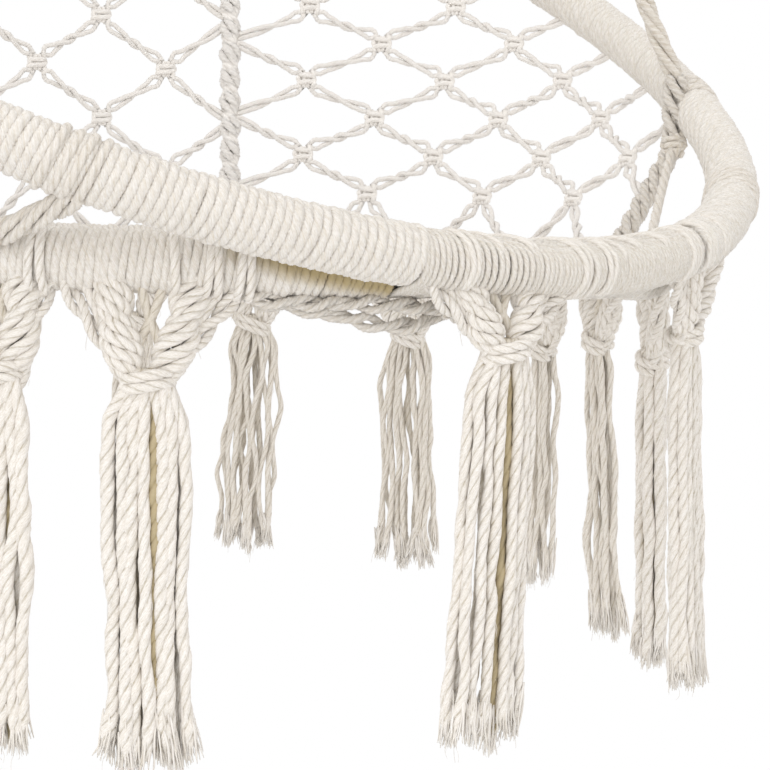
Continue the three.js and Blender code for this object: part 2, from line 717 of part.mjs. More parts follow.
function addHitches() {
  for (const [name, side] of SIDES) {
    for (const [where, degrees] of [['side', SIDE_HITCH_DEGREES], ['rear', REAR_HITCH_DEGREES]]) {
      const hitch = `${where}_hitch_${name}`;
      const rows = hitchRows(backHoop, side * degrees, HITCH_LOOPS, HITCH_CORD_RADIUS, hitch);
      add(hitch, windingGeometry(rows), cotton);
    }
  }
}

// The ties that hold the hoops together where they part, a hitch on the back hoop with its braid
function addHoopTies() {
  for (const [name, side] of SIDES) {
    const hitch = `hoop_tie_hitch_${name}`;
    const rows = hitchRows(backHoop, side * TIE_HITCH_DEGREES, TIE_LOOPS, TIE_CORD_RADIUS, hitch);
    add(hitch, windingGeometry(rows), cotton);
    const back = besideHoop(backHoop, side * TIE_HITCH_DEGREES);
    const seat = besideHoop(seatHoop, side * TIE_SEAT_DEGREES);
    const braid = strut(back, seat, TIE_BRAID_RADIUS, TIE_BRAID_RADIUS, ROPE_SIDES);
    add(`hoop_tie_braid_${name}`, cutAtHoops(braid), cotton);
  }
}

// Below each side hitch a sinnet drops to a knot and turns in to the seat hoop, beside a thin strand
function dropParts(side) {
  const top = besideHoop(backHoop, side * SIDE_HITCH_DEGREES);
  const knot = top.clone().setZ(top.z - DROP_KNOT_DEPTH);
  const foot = besideHoop(seatHoop, side * DROP_SEAT_DEGREES);
  const ball = new THREE.IcosahedronGeometry(DROP_KNOT_RADIUS, 0).translate(...knot.toArray());
  const strandFoot = besideHoop(seatHoop, side * DROP_STRAND_SEAT_DEGREES);
  const spread = strandFoot.clone().sub(knot).angleTo(foot.clone().sub(knot));
  const start = (DROP_SINNET_RADIUS + 2 * GAP + DROP_STRAND_RADIUS * Math.cos(spread)) / Math.sin(spread);
  const strandTop = mix(knot, strandFoot, start / knot.distanceTo(strandFoot));
  const bent = (radius) => [[top, knot], [knot, foot]].map(([from, to]) => (
    strut(from, to, radius, radius, ROPE_SIDES)));
  const strand = strut(strandTop, strandFoot, DROP_STRAND_RADIUS, DROP_STRAND_RADIUS, ROPE_SIDES);
  return {
    sinnet: without(joined([...bent(DROP_SINNET_RADIUS), ball]), cordRooms),
    strand: without(toSolid(strand), cordRooms),
    room: joined(bent(DROP_SINNET_RADIUS + GAP)),
  };
}

// The spiral sinnets that part the back net into its panels
function rearSinnet(side, radius) {
  const top = besideHoop(backHoop, side * REAR_HITCH_DEGREES);
  const foot = besideHoop(seatHoop, side * REAR_SINNET_DEGREES);
  return strut(foot, top, radius, radius, ROPE_SIDES);
}

function addNetsAndSinnets() {
  const drops = { left: dropParts(-1), right: dropParts(1) };
  const sinnetRoom = joined(SIDES.map(([, side]) => rearSinnet(side, SINNET_RADIUS + GAP)));
  const rooms = [...cordRooms, sinnetRoom, drops.left.room, drops.right.room];
  const cut = (geometry) => toGeometry(without(toSolid(geometry), rooms));
  for (const [name, side] of SIDES) {
    add(`drop_sinnet_${name}`, toGeometry(drops[name].sinnet), cotton);
    add(`drop_strand_${name}`, toGeometry(drops[name].strand), cotton);
    add(`rear_sinnet_${name}`, cutAtHoops(rearSinnet(side, SINNET_RADIUS)), cotton);
    add(`back_net_${name}`, cut(backNetPanel({
      columns: SIDE_NET_COLUMNS,
      angleOf: (column) => side * sideNetAngle(column),
      firstRow: SIDE_NET_FIRST_ROW,
      rowHeight: SIDE_NET_ROW,
      odd: 0,
    })), cotton);
  }
  add('back_net_rear', cut(backNetPanel({
    columns: REAR_NET_COLUMNS,
    angleOf: rearNetAngle,
    firstRow: REAR_NET_FIRST_ROW,
    rowHeight: REAR_NET_ROW,
    odd: 1,
  })), cotton);
  add('seat_net', toGeometry(without(toSolid(seatNet()), hoopRooms)), cotton);
}

// Tassels: name, hoop, angle round that hoop, and the head's half width and the length as shares
const TASSELS = [
  ['tassel_01', seatHoop, -51.7, 0.48, 0.98],
  ['tassel_02', seatHoop, -38, 0.97, 1.015],
  ['tassel_03', backHoop, -5.4, 1, 0.98],
  ['tassel_04', backHoop, 24.7, 1, 0.97],
  ['tassel_05', seatHoop, 51, 0.8, 1],
  ['tassel_06', seatHoop, 69.6, 0.7, 1.035],
  ['tassel_07', seatHoop, 83.3, 0.66, 0.945],
  ['tassel_08', seatHoop, 107.9, 0.9, 0.975],
  ['tassel_09', seatHoop, 130.6, 0.9, 0.955],
  ['tassel_10', seatHoop, 147.4, 0.8, 0.965],
  ['tassel_11', seatHoop, 168, 0.95, 1],
  ['tassel_12', seatHoop, 189, 0.95, 0.985],
  ['tassel_13', seatHoop, 211, 0.95, 1.01],
  ['tassel_14', seatHoop, 233, 0.95, 0.99],
  ['tassel_15', seatHoop, 256, 0.95, 1],
  ['tassel_16', seatHoop, 281, 0.95, 1.01],
];

// Places of the strands in a tassel's skirt, as shares of its half width and half depth
const STRAND_SHARES = [[-1, 0.4], [-0.35, -1], [0.35, 1], [1, -0.4]];
const SKIRT_TOP_SHARE = 0.6;

function tasselSolid([, hoop, degrees, widthShare, lengthShare]) {
  const underFront = hoop === backHoop;
  const angle = underFront ? seatAngleAt(degrees) : degrees;
  const radius = SEAT_HOOP_RADIUS + (underFront ? FRONT_TASSEL_OUT : TASSEL_OUT);
  const knotDepth = underFront ? FRONT_KNOT_DEPTH : TASSEL_KNOT_DEPTH;
  const facing = rad(angle - 90);
  const place = (across, out, z) => vec(radius + out, across, z).applyAxisAngle(vec(0, 0, 1), facing);
  const spread = widthShare * TASSEL_HEAD_HALF_WIDTH;
  const knotTop = -knotDepth + TASSEL_KNOT_HEIGHT / 2;
  const knotFoot = -knotDepth - TASSEL_KNOT_HEIGHT / 2;
  const legs = [-1, 0, 1].map((hand) => {
    const legDegrees = degrees + degreesFor(hand * spread, hoop);
    const top = besideHoop(hoop, legDegrees, TASSEL_LEG_OUT, -TASSEL_LEG_HEIGHT);
    const foot = place((hand * TASSEL_KNOT_RADIUS) / 2, 0, knotTop - OVERRUN);
    return strut(top, foot, TASSEL_LEG_RADIUS, TASSEL_LEG_RADIUS, LEG_SIDES);
  });
  const knotSize = [TASSEL_KNOT_RADIUS, TASSEL_KNOT_RADIUS, TASSEL_KNOT_HEIGHT];
  const knot = new THREE.CylinderGeometry(...knotSize, KNOT_SIDES);
  knot.rotateX(Math.PI / 2).scale(KNOT_FLATNESS_SHARE, 1, 1).rotateZ(facing);
  knot.translate(...place(0, 0, -knotDepth).toArray());
  const strands = STRAND_SHARES.map(([across, out]) => {
    const halfWidth = (across * TASSEL_SKIRT_WIDTH) / 2;
    const halfDepth = (out * TASSEL_SKIRT_DEPTH) / 2;
    const top = place(halfWidth * SKIRT_TOP_SHARE, halfDepth * SKIRT_TOP_SHARE, knotFoot + OVERRUN);
    const foot = place(halfWidth, halfDepth, -TASSEL_LENGTH * lengthShare);
    return strut(top, foot, TASSEL_STRAND_RADIUS, TASSEL_STRAND_RADIUS, STRAND_SIDES);
  });
  return joined([...legs, knot, ...strands]);
}

function addTassels() {
  for (const tassel of TASSELS) {
    add(tassel[0], toGeometry(without(tasselSolid(tassel), hoopRooms)), cotton);
  }
}

// The cord swag below the front rim, between the heads of two tassels
function addSwag() {
  const points = [];
  const lowest = LASHING_OUTER_RADIUS + SWAG_RADIUS + SWAG_DROP;
  for (let i = 0; i <= SWAG_SPANS; i += 1) {
    const share = i / SWAG_SPANS;
    const depth = lowest * Math.sin(Math.PI * share);
    const degrees = SWAG_FROM_DEGREES + (SWAG_TO_DEGREES - SWAG_FROM_DEGREES) * share;
    points.push(besideHoop(seatHoop, degrees, 0, -depth));
  }
  add('front_swag', cutAtHoops(ropeAlong(points, SWAG_RADIUS, ROPE_SIDES, ROPE_STEPS_PER_SPAN)), cotton);
}

addHangingRing();
addRopes();
addHitches();
addHoops();
addHoopTies();
addNetsAndSinnets();
addTassels();
addSwag();

export default chair;
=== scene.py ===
# Looks of a hanging hammock chair: every cord of its wraps, hitches, nets, ropes and tassels.
# Lengths are millimetres in the chair's own frame: the seat hoop's middle is the origin, +Z is up
# and the front looks towards -Y. Meshes are written in metres in the frame of the CAD model.
import math
from collections import namedtuple

import bpy
import numpy as np
from mathutils import Matrix, Vector


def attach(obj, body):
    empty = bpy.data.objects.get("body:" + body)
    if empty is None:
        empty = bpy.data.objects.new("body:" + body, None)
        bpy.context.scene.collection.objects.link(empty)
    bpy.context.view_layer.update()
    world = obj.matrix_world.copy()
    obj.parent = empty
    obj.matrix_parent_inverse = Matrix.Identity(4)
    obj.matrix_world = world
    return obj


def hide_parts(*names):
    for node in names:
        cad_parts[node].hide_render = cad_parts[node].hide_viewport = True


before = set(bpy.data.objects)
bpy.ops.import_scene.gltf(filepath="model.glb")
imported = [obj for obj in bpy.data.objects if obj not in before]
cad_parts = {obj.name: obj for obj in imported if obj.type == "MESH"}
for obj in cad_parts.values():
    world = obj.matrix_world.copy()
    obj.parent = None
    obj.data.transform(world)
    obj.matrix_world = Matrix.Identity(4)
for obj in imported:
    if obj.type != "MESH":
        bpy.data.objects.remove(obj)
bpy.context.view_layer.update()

MM = 0.001
TAU = 2 * math.pi
Z = np.array([0.0, 0.0, 1.0])
LEVEL = np.array([1.0, 1.0, 0.0])  # keeps the level part of a direction

# Hoops
SEAT_RADIUS = 300.0
BACK_RADIUS = 376.0
BACK_TILT = 29.0
BACK_MIDDLE = (0.0, 3.36, 184.3)
WRAP_OUTER = 16.0

# Hanging gear. The chair hangs by its ring's upper inner edge, which is the CAD model's origin
HANGING_HEIGHT = 985.0
SETBACK = 13.0  # of the ring behind the seat hoop's middle
RING_RADIUS = 32.0
RING_WIRE = 4.5
WHIPPING_DROP = 72.0
WHIPPING_HALF = 17.0
WHIPPING_RADIUS = 17.25
CHAIR_ORIGIN = np.array([0.0, -SETBACK, -HANGING_HEIGHT])
RING_MIDDLE = np.array([0.0, SETBACK, HANGING_HEIGHT - RING_RADIUS + RING_WIRE])
BAR = RING_MIDDLE - RING_RADIUS * Z  # the lowest point of the ring's centre line
WHIPPING_MIDDLE = BAR[2] - WHIPPING_DROP

# Places round the hoops, in degrees from the front
LASH_END = 20.0
LEFT_LASH_END = 13.4
SIDE_HITCH = 66.0
REAR_HITCH = 140.0
REAR_SINNET = 134.0
TIE_HITCH = 40.0
TIE_LANDING = 53.5
DROP_STRAND_SEAT = 51.0
SEAT_SPLIT = 120.0  # where two stretches of the seat hoop's wrap meet

SIDES = (("left", -1), ("right", 1))
STEP = 2.0  # between two samples of a cord's path
FINE_STEP = 1.5
PATH_DETAIL = 40  # points of a curve for each point that it is drawn through


# Vectors and smooth curves


def unit(v):
    return v / np.maximum(np.linalg.norm(v, axis=-1, keepdims=True), 1e-12)


def ease(share):
    share = np.clip(share, 0.0, 1.0)
    return share * share * (3 - 2 * share)


def lerp(a, b, share):
    """A point, or one for each share, between two points."""
    share = np.asarray(share, float)
    return a + (b - a) * (share[..., None] if share.ndim else share)


def smooth_noise(random, count, spread, every):
    """Random values that change smoothly, with one fresh value every so many samples."""
    values = random.normal(0, spread, int(count / every) + 3)
    where = np.arange(count) / every
    left = where.astype(int)
    share = ease(where - left)
    return values[left] * (1 - share) + values[left + 1] * share


def spline(points, spacing=STEP):
    """A smooth path through points, with samples about spacing apart."""
    points = np.asarray(points, float)
    gaps = np.sqrt(np.linalg.norm(np.diff(points, axis=0), axis=1))
    knots = np.concatenate([[0], np.cumsum(gaps)])
    slopes = np.gradient(points, knots, axis=0, edge_order=1)
    fine = np.linspace(0, knots[-1], PATH_DETAIL * len(points))
    i = np.clip(np.searchsorted(knots, fine, side="right") - 1, 0, len(gaps) - 1)
    gap = gaps[i][:, None]
    s = ((fine - knots[i])[:, None]) / gap
    path = (
        (2 * s**3 - 3 * s**2 + 1) * points[i]
        + (s**3 - 2 * s**2 + s) * gap * slopes[i]
        + (-2 * s**3 + 3 * s**2) * points[i + 1]
        + (s**3 - s**2) * gap * slopes[i + 1]
    )
    run = runs(path)
    where = np.linspace(0, run[-1], max(4, int(round(run[-1] / spacing)) + 1))
    return np.stack([np.interp(where, run, path[:, axis]) for axis in range(3)], axis=1)


def frames(paths, up):
    """Side and outward direction at each sample of each path."""
    tangent = unit(np.gradient(paths, axis=-2))
    side = unit(np.cross(tangent, np.broadcast_to(up, paths.shape)))
    return side, np.cross(side, tangent)


def runs(paths):
    """How far along its path each sample lies."""
    steps = np.linalg.norm(np.diff(paths, axis=-2), axis=-1)
    return np.concatenate([np.zeros(steps.shape[:-1] + (1,)), np.cumsum(steps, axis=-1)], axis=-1)


# Cord sections: angles round the cord, reach as a share of its radius


def section(lobes, angles, reaches):
    turn = np.concatenate([np.radians(angles) + TAU * lobe / lobes for lobe in range(lobes)])
    return turn, np.tile(reaches, lobes)


THREE_PLY = section(3, (-38, 0, 38), (0.95, 1.0, 0.95))
WRAP_PLY = section(3, (-42, 0, 42, 60), (0.95, 1.0, 0.95, 0.81))
DEEP_PLY = section(3, (-43, 0, 43, 60), (0.94, 1.0, 0.94, 0.70))
FIBRE = section(4, (0,), (1.0,))
END_SHARE = 0.6  # of the radius is left at a cord's first and last sample
NOISE_RUN = 5000.0  # along which the cords' noise starts at random
FIBRE_GRAIN = 0.1  # a fibre is too thin to carry the noise of a cord
FIBRE_TONES = 0.2


class Weave:
    """Gathers tubes of cord and writes them as one piece. For the materials, thread is a place
    along and round the cord, and tone holds the height in its section, which sets the painted
    shade in the ply valleys, its own tone, and how much painted olive shade it takes."""

    def __init__(self, seed):
        self.random = np.random.default_rng(seed)
        self.points, self.thread, self.tone = [], [], []
        self.corners, self.sizes = [], []
        self.count = 0

    def tubes(self, paths, radius, up, shape, lay=None, shade=0.0):
        """Cords along paths. shade is their painted shade: a value, or a function of the points."""
        paths = np.asarray(paths, float)
        if paths.ndim == 2:
            paths = paths[None]
        cords, samples = paths.shape[:2]
        angle, reach = shape
        sides = len(angle)
        side, out = frames(paths, up)
        run = runs(paths)
        phase = self.random.uniform(0, TAU, (cords, 1, 1))
        turn = angle + phase + (TAU / lay * run[..., None] if lay else 0.0)
        size = np.array(np.broadcast_to(radius, (cords, samples)), float)
        size[:, [0, -1]] *= END_SHARE
        ring = size[..., None] * reach
        turn = np.broadcast_to(turn, ring.shape)
        points = (
            paths[:, :, None]
            + (ring * np.cos(turn))[..., None] * side[:, :, None]
            + (ring * np.sin(turn))[..., None] * out[:, :, None]
        )
        fine = shape is FIBRE
        grain = FIBRE_GRAIN if fine else 1.0
        along = run * grain + self.random.uniform(0, NOISE_RUN, (cords, 1))
        thread = np.empty(points.shape)
        thread[..., 0] = along[..., None]
        thread[..., 1] = np.cos(angle) * grain
        thread[..., 2] = np.sin(angle) * grain
        tone = np.empty(points.shape)
        low = reach.min()
        tone[..., 0] = 1.0 if fine else (reach - low) / (1 - low)
        tone[..., 1] = self.random.uniform(0, FIBRE_TONES if fine else 1.0, (cords, 1, 1))
        tone[..., 2] = shade(points) if callable(shade) else np.asarray(shade, float)[..., None]
        self.points.append(points.reshape(-1, 3))
        self.thread.append(thread.reshape(-1, 3))
        self.tone.append(tone.reshape(-1, 3))
        index = self.count + np.arange(cords * samples * sides).reshape(cords, samples, sides)
        ahead = np.roll(index, -1, axis=2)
        quads = np.stack([index[:, :-1], index[:, 1:], ahead[:, 1:], ahead[:, :-1]], axis=-1)
        self.corners += [quads.ravel(), index[:, 0].ravel(), index[:, -1, ::-1].ravel()]
        self.sizes += [np.full(quads.size // 4, 4), np.full(2 * cords, sides)]
        self.count += cords * samples * sides

    def piece(self, node, material, body="chair"):
        points = (np.concatenate(self.points) + CHAIR_ORIGIN) * MM
        corners = np.concatenate(self.corners)
        sizes = np.concatenate(self.sizes)
        mesh = bpy.data.meshes.new(node + "_cords")
        mesh.vertices.add(len(points))
        mesh.vertices.foreach_set("co", points.astype(np.float32).ravel())
        mesh.loops.add(len(corners))
        mesh.loops.foreach_set("vertex_index", corners.astype(np.int32))
        mesh.polygons.add(len(sizes))
        starts = np.concatenate([[0], np.cumsum(sizes)[:-1]])
        mesh.polygons.foreach_set("loop_start", starts.astype(np.int32))
        mesh.polygons.foreach_set("use_smooth", np.ones(len(sizes), bool))
        mesh.update(calc_edges=True)
        for name, rows in (("thread", self.thread), ("tone", self.tone)):
            values = np.concatenate(rows).astype(np.float32)
            layer = mesh.attributes.new(name, "FLOAT_VECTOR", "POINT")
            layer.data.foreach_set("vector", values.ravel())
        mesh.materials.append(material.surface)
        cords = bpy.data.objects.new(node + "_cords", mesh)
        bpy.context.scene.collection.objects.link(cords)
        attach(cords, body)
        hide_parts(node)


# Cord work that the pieces share


def twine(path, up, plies, coil, lay):
    """Paths of plies twisted round a path, and the way out from it at each of their samples."""
    side, out = frames(path[None], up)
    turn = TAU * (runs(path) / lay + np.arange(plies)[:, None] / plies)
    away = np.cos(turn)[..., None] * side + np.sin(turn)[..., None] * out
    coil = np.broadcast_to(coil, turn.shape)
    return path + away * coil[..., None], away


def add_twine(weave, path, up, plies, coil, lay, ply, ply_lay):
    """Laid plies twisted round a path."""
    paths, away = twine(path, up, plies, coil, lay)
    weave.tubes(paths, ply, away, DEEP_PLY, ply_lay)


def flat_band(path, up, plies, width):
    """Paths of plies that lie side by side along a path, facing up."""
    side, _ = frames(path[None], up)
    offsets = (np.arange(plies) - (plies - 1) / 2) * width
    return path + offsets[:, None, None] * side


def braid(path, up, strands, half_width, half_depth, period):
    """Paths of a flat braid along a path."""
    side, out = frames(path[None], up)
    turn = TAU * (runs(path) / period + np.arange(strands)[:, None] / strands)
    across = half_width * np.sin(turn)[..., None] * side
    return path + across + half_depth * np.sin(2 * turn)[..., None] * out


# A square knot: its two working cords as (right, up, towards the viewer), in knot sizes
KNOT_FRONT = (
    (-1.0, 1.6, 0.0), (-1.25, 1.0, 0.2), (0.0, 0.7, 0.9), (1.25, 0.55, 0.1), (1.35, 0.0, -0.1),
    (1.25, -0.35, 0.2), (0.0, -0.5, 0.9), (-1.25, -0.8, 0.2), (-1.0, -1.6, 0.0),
)
KNOT_BACK = (
    (1.0, 1.6, 0.0), (1.3, 0.9, 0.5), (0.9, 0.45, -0.4), (0.0, 0.4, -0.9), (-1.2, 0.5, -0.2),
    (-1.45, 0.1, 0.4), (-1.1, -0.3, -0.2), (0.0, -0.6, -0.9), (1.25, -0.7, -0.2),
    (1.45, -0.9, 0.5), (1.0, -1.6, 0.0),
)
KNOT_FILLERS = (((-0.35, 1.5, 0.0), (-0.35, 0.0, 0.1), (-0.35, -1.5, 0.0)),
                ((0.35, 1.5, 0.0), (0.35, 0.0, -0.1), (0.35, -1.5, 0.0)))
KNOT_SAMPLES_SHARE = 0.20  # the spacing of a knot's samples, in knot sizes
KNOT_LIFT_SHARE = 0.02  # keeps the way out of a knot defined on its middle line
LEAST_LIFT = 0.001
BAND_WIDTH_SHARE = 1.85  # from one cord of a band to the next, in their radii


def square_knots(weave, origins, axes, size, ply, lay, plies=1):
    """A square knot at each origin. axes holds the right, up and outward directions of each."""
    origins = np.atleast_2d(origins)
    axes = np.asarray(axes, float).reshape(-1, 3, 3)
    for cord in (KNOT_FRONT, KNOT_BACK, *KNOT_FILLERS):
        local = spline(cord, KNOT_SAMPLES_SHARE) * size
        around = local * np.array([1.0, 0.0, 1.0])
        around[:, 2] += KNOT_LIFT_SHARE * size[2]
        around[:, 2] += LEAST_LIFT
        if cord in KNOT_FILLERS:
            around = np.broadcast_to(Z, local.shape)
        outward = np.einsum("nc,kcd->knd", unit(around), axes)
        for band in flat_band(local, unit(around), plies, BAND_WIDTH_SHARE * ply):
            paths = origins[:, None] + np.einsum("nc,kcd->knd", band, axes)
            weave.tubes(paths, ply, outward, THREE_PLY, lay)


# Hoops


class Hoop:
    def __init__(self, radius, tilt, middle):
        tilt = math.radians(tilt)
        c, s = math.cos(tilt), math.sin(tilt)
        self.radius = radius
        self.turn = np.array([[1.0, 0.0, 0.0], [0.0, c, -s], [0.0, s, c]])
        self.middle = np.array(middle)
        self.axis = self.turn @ Z

    def out(self, degrees):
        a = np.radians(degrees)
        return np.stack([np.sin(a), -np.cos(a), 0 * a], axis=-1) @ self.turn.T

    def along(self, degrees):
        a = np.radians(degrees)
        return np.stack([np.cos(a), np.sin(a), 0 * a], axis=-1) @ self.turn.T

    def at(self, degrees, out=0.0, up=0.0):
        degrees = np.asarray(degrees, float)
        reach = np.asarray(self.radius + out, float)
        rise = np.asarray(up, float)
        return self.middle + reach[..., None] * self.out(degrees) + rise[..., None] * self.axis

    def degrees(self, length):
        return np.degrees(length / self.radius)

    def clearance(self, points):
        """How far points lie from the hoop's wrap."""
        local = (points - self.middle) @ self.turn
        reach = np.hypot(local[..., 0], local[..., 1]) - self.radius
        return np.hypot(reach, local[..., 2]) - WRAP_OUTER


SEAT = Hoop(SEAT_RADIUS, 0.0, (0.0, 0.0, 0.0))
BACK = Hoop(BACK_RADIUS, BACK_TILT, BACK_MIDDLE)
WIRE = Hoop(RING_RADIUS, 90.0, RING_MIDDLE)


def seat_angle(back_degrees):
    """Where the seat hoop lies under a place on the back hoop."""
    point = BACK.at(back_degrees)
    return np.degrees(np.arctan2(point[..., 0], -point[..., 1]))


# Materials

Finish = namedtuple("Finish", "surface slot")


class Nodes:
    """Short ways to add and join shader nodes."""

    def __init__(self, tree):
        self.tree = tree

    def node(self, kind, **settings):
        made = self.tree.nodes.new(kind)
        for key, value in settings.items():
            setattr(made, key, value)
        return made

    def join(self, source, target):
        self.tree.links.new(source, target)

    def attribute(self, name):
        return self.node("ShaderNodeAttribute", attribute_name=name).outputs["Vector"]

    def combined(self, operation, a, b):
        made = self.node("ShaderNodeMath", operation=operation)
        self.join(a, made.inputs[0])
        self.join(b, made.inputs[1])
        return made.outputs[0]

    def scaled(self, vector, factors):
        made = self.node("ShaderNodeVectorMath", operation="MULTIPLY")
        self.join(vector, made.inputs[0])
        made.inputs[1].default_value = factors
        return made.outputs["Vector"]

    def noise(self, vector, *values):
        """Noise of a scale, detail and roughness."""
        made = self.node("ShaderNodeTexNoise")
        self.join(vector, made.inputs["Vector"])
        for socket, value in zip(("Scale", "Detail", "Roughness"), values):
            made.inputs[socket].default_value = value
        return made.outputs["Fac"]

    def ranged(self, value, *limits):
        """A value from one low and high moved to another low and high."""
        made = self.node("ShaderNodeMapRange")
        self.join(value, made.inputs["Value"])
        for socket, limit in zip(("From Min", "From Max", "To Min", "To Max"), limits):
            made.inputs[socket].default_value = limit
        return made.outputs["Result"]

    def mixed(self, share, a, b):
        made = self.node("ShaderNodeMix", data_type="RGBA")
        self.join(share, made.inputs["Factor"])
        for socket, value in zip([s for s in made.inputs if s.type == "RGBA"], (a, b)):
            if isinstance(value, tuple):
                socket.default_value = (*value, 1.0)
            else:
                self.join(value, socket)
        return [s for s in made.outputs if s.type == "RGBA"][0]

    def bump(self, height, strength, distance):
        made = self.node("ShaderNodeBump")
        made.inputs["Strength"].default_value = strength
        made.inputs["Distance"].default_value = distance
        self.join(height, made.inputs["Height"])
        return made.outputs["Normal"]


def new_material(name):
    """A material, its nodes, and the inputs of its surface."""
    material = bpy.data.materials.new(name)
    material.use_nodes = True
    tree = material.node_tree
    return material, Nodes(tree), tree.nodes["Principled BSDF"].inputs


# Noise on cords: its scale along and round a cord, detail and roughness
STREAKS = (0.30, 5.0, 5.0, 0.7)
BLOTCHES = (0.03, 0.8, 2.0, 0.5)
SPECKS = (0.8, 8.0, 2.0, 0.6)
WARM_SHARE = 0.35  # how much of the warm colour the warmest cords take
FIBRE_BUMP = (0.8, 0.0004)  # strength, and rise in metres
# Painted shade: the olive of deep shade, mixed into cords deep in a bundle and into crevices
PAINTED_SHADE_OLIVE = (0.43, 0.34, 0.17)  # cords that lie deep inside a bundle
COTTON_SURFACE = (("Roughness", 0.94), ("Specular IOR Level", 0.25), ("Sheen Weight", 0.15),
                  ("Sheen Roughness", 0.6))


def cotton(name, light, warm, crevice, valley):
    """Twisted cotton: fibre streaks along the plies, uneven bleaching, painted shade in valleys."""
    material, n, surface = new_material(name)
    thread = n.attribute("thread")
    tone = n.node("ShaderNodeSeparateXYZ")
    n.join(n.attribute("tone"), tone.inputs[0])
    streaks, blotches, specks = (
        n.noise(n.scaled(thread, (along, around, around)), 1.0, detail, roughness)
        for along, around, detail, roughness in (STREAKS, BLOTCHES, SPECKS)
    )
    body = n.mixed(n.ranged(blotches, 0.35, 0.7, 0.0, 1.0), light, warm)
    body = n.mixed(n.ranged(tone.outputs["Y"], 0.0, 1.0, 0.0, WARM_SHARE), body, warm)
    body = n.mixed(n.ranged(streaks, 0.34, 0.56, 0.34, 0.0), body, crevice)
    body = n.mixed(n.ranged(specks, 0.40, 0.56, 0.26, 0.0), body, crevice)
    # Painted shade: the low part of a ply's section takes the crevice colour, by valley.
    valley_shade_mask = n.ranged(tone.outputs["X"], 0.0, 0.75, 1.0, 0.0)
    broken = n.ranged(streaks, 0.35, 0.6, 1.6 * valley, 0.3 * valley)
    body = n.mixed(n.combined("MULTIPLY", valley_shade_mask, broken), body, crevice)
    # Painted shade: the olive of deep shade, as much as tone's third value asks.
    body = n.mixed(tone.outputs["Z"], body, PAINTED_SHADE_OLIVE)
    n.join(body, surface["Base Color"])
    for socket, value in COTTON_SURFACE:
        surface[socket].default_value = value
    n.join(n.bump(streaks, *FIBRE_BUMP), surface["Normal"])
    return material


GRAIN = (900.0, 3.0, 0.6)  # scale, detail, roughness
CLOUD = (60.0, 2.0, 0.5)
GRAIN_BUMP = (0.15, 0.0002)


def metal(name, light, dark, metallic, roughness):
    """Bent steel: a faint brushed grain and uneven roughness."""
    material, n, surface = new_material(name)
    place = n.node("ShaderNodeTexCoord").outputs["Object"]
    grain = n.noise(place, *GRAIN)
    cloud = n.noise(place, *CLOUD)
    n.join(n.mixed(n.ranged(cloud, 0.3, 0.7, 0.0, 1.0), light, dark), surface["Base Color"])
    surface["Metallic"].default_value = metallic
    n.join(n.ranged(grain, 0.2, 0.8, roughness * 0.8, roughness * 1.3), surface["Roughness"])
    n.join(n.bump(grain, *GRAIN_BUMP), surface["Normal"])
    return material


# Finishes: light and warm colours, the crevice colour for fibre streaks, specks and the painted
# shade in ply valleys, and how strong that painted valley shade is
WRAP = Finish(cotton("wrap cotton", (0.91, 0.885, 0.855), (0.88, 0.85, 0.81),
                     (0.50, 0.42, 0.29), 0.22), "wrap_cotton")
ROPE = Finish(cotton("rope cotton", (0.87, 0.84, 0.805), (0.83, 0.79, 0.74),
                     (0.47, 0.39, 0.26), 0.32), "rope_cotton")
NET = Finish(cotton("net cotton", (0.95, 0.93, 0.91), (0.93, 0.905, 0.88),
                    (0.66, 0.60, 0.52), 0.12), "net_cotton")
TASSEL = Finish(cotton("tassel cotton", (0.91, 0.885, 0.86), (0.875, 0.84, 0.80),
                       (0.47, 0.40, 0.27), 0.55), "tassel_cotton")
STEEL = Finish(metal("ring steel", (0.62, 0.63, 0.64), (0.50, 0.51, 0.52), 1.0, 0.22), "ring_steel")
TUBE = Finish(metal("tube paint", (0.80, 0.79, 0.76), (0.66, 0.65, 0.62), 0.2, 0.5), "hoop_steel")


# Wrapped hoops

WRAP_CORD = 3.5  # radius
SEAT_WRAP_CORD = 2.9
# A hoop's wrap: cord, pitch, how uneven and how loose
BACK_WRAP = (WRAP_CORD, 4.75, 0.04, 0.24)
SEAT_WRAP = (SEAT_WRAP_CORD, 4.0, 0.09, 0.36)
WRAP_COIL = 12.55
WRAP_STEPS = 43  # samples in a turn
WRAP_LAY = 21.0
WRAP_LEAN = 1.3
END_ROOM = 1.6
DRIFT_SHARE = 0.07  # how far a turn strays along the hoop, in pitches
BUNDLE_TURNS = (3, 8)  # from one wider gap to the next there are 3 to 7 turns
# Painted shade on the seat hoop's wrap where the back hoop lies close over it: how strong it is,
# within which distance it is full, and beyond which it is gone
CREVICE_SHADE = 0.95  # how brown the seat hoop's wrap turns where the back hoop lies close to it
CREVICE_NEAR = 8.5  # wholly brown up to this distance
CREVICE_REACH = 17.0


def crevice_shade(hoop, path):
    if hoop is not SEAT:
        return 0.0
    near = (CREVICE_REACH - BACK.clearance(path)) / (CREVICE_REACH - CREVICE_NEAR)
    return CREVICE_SHADE * ease(near)


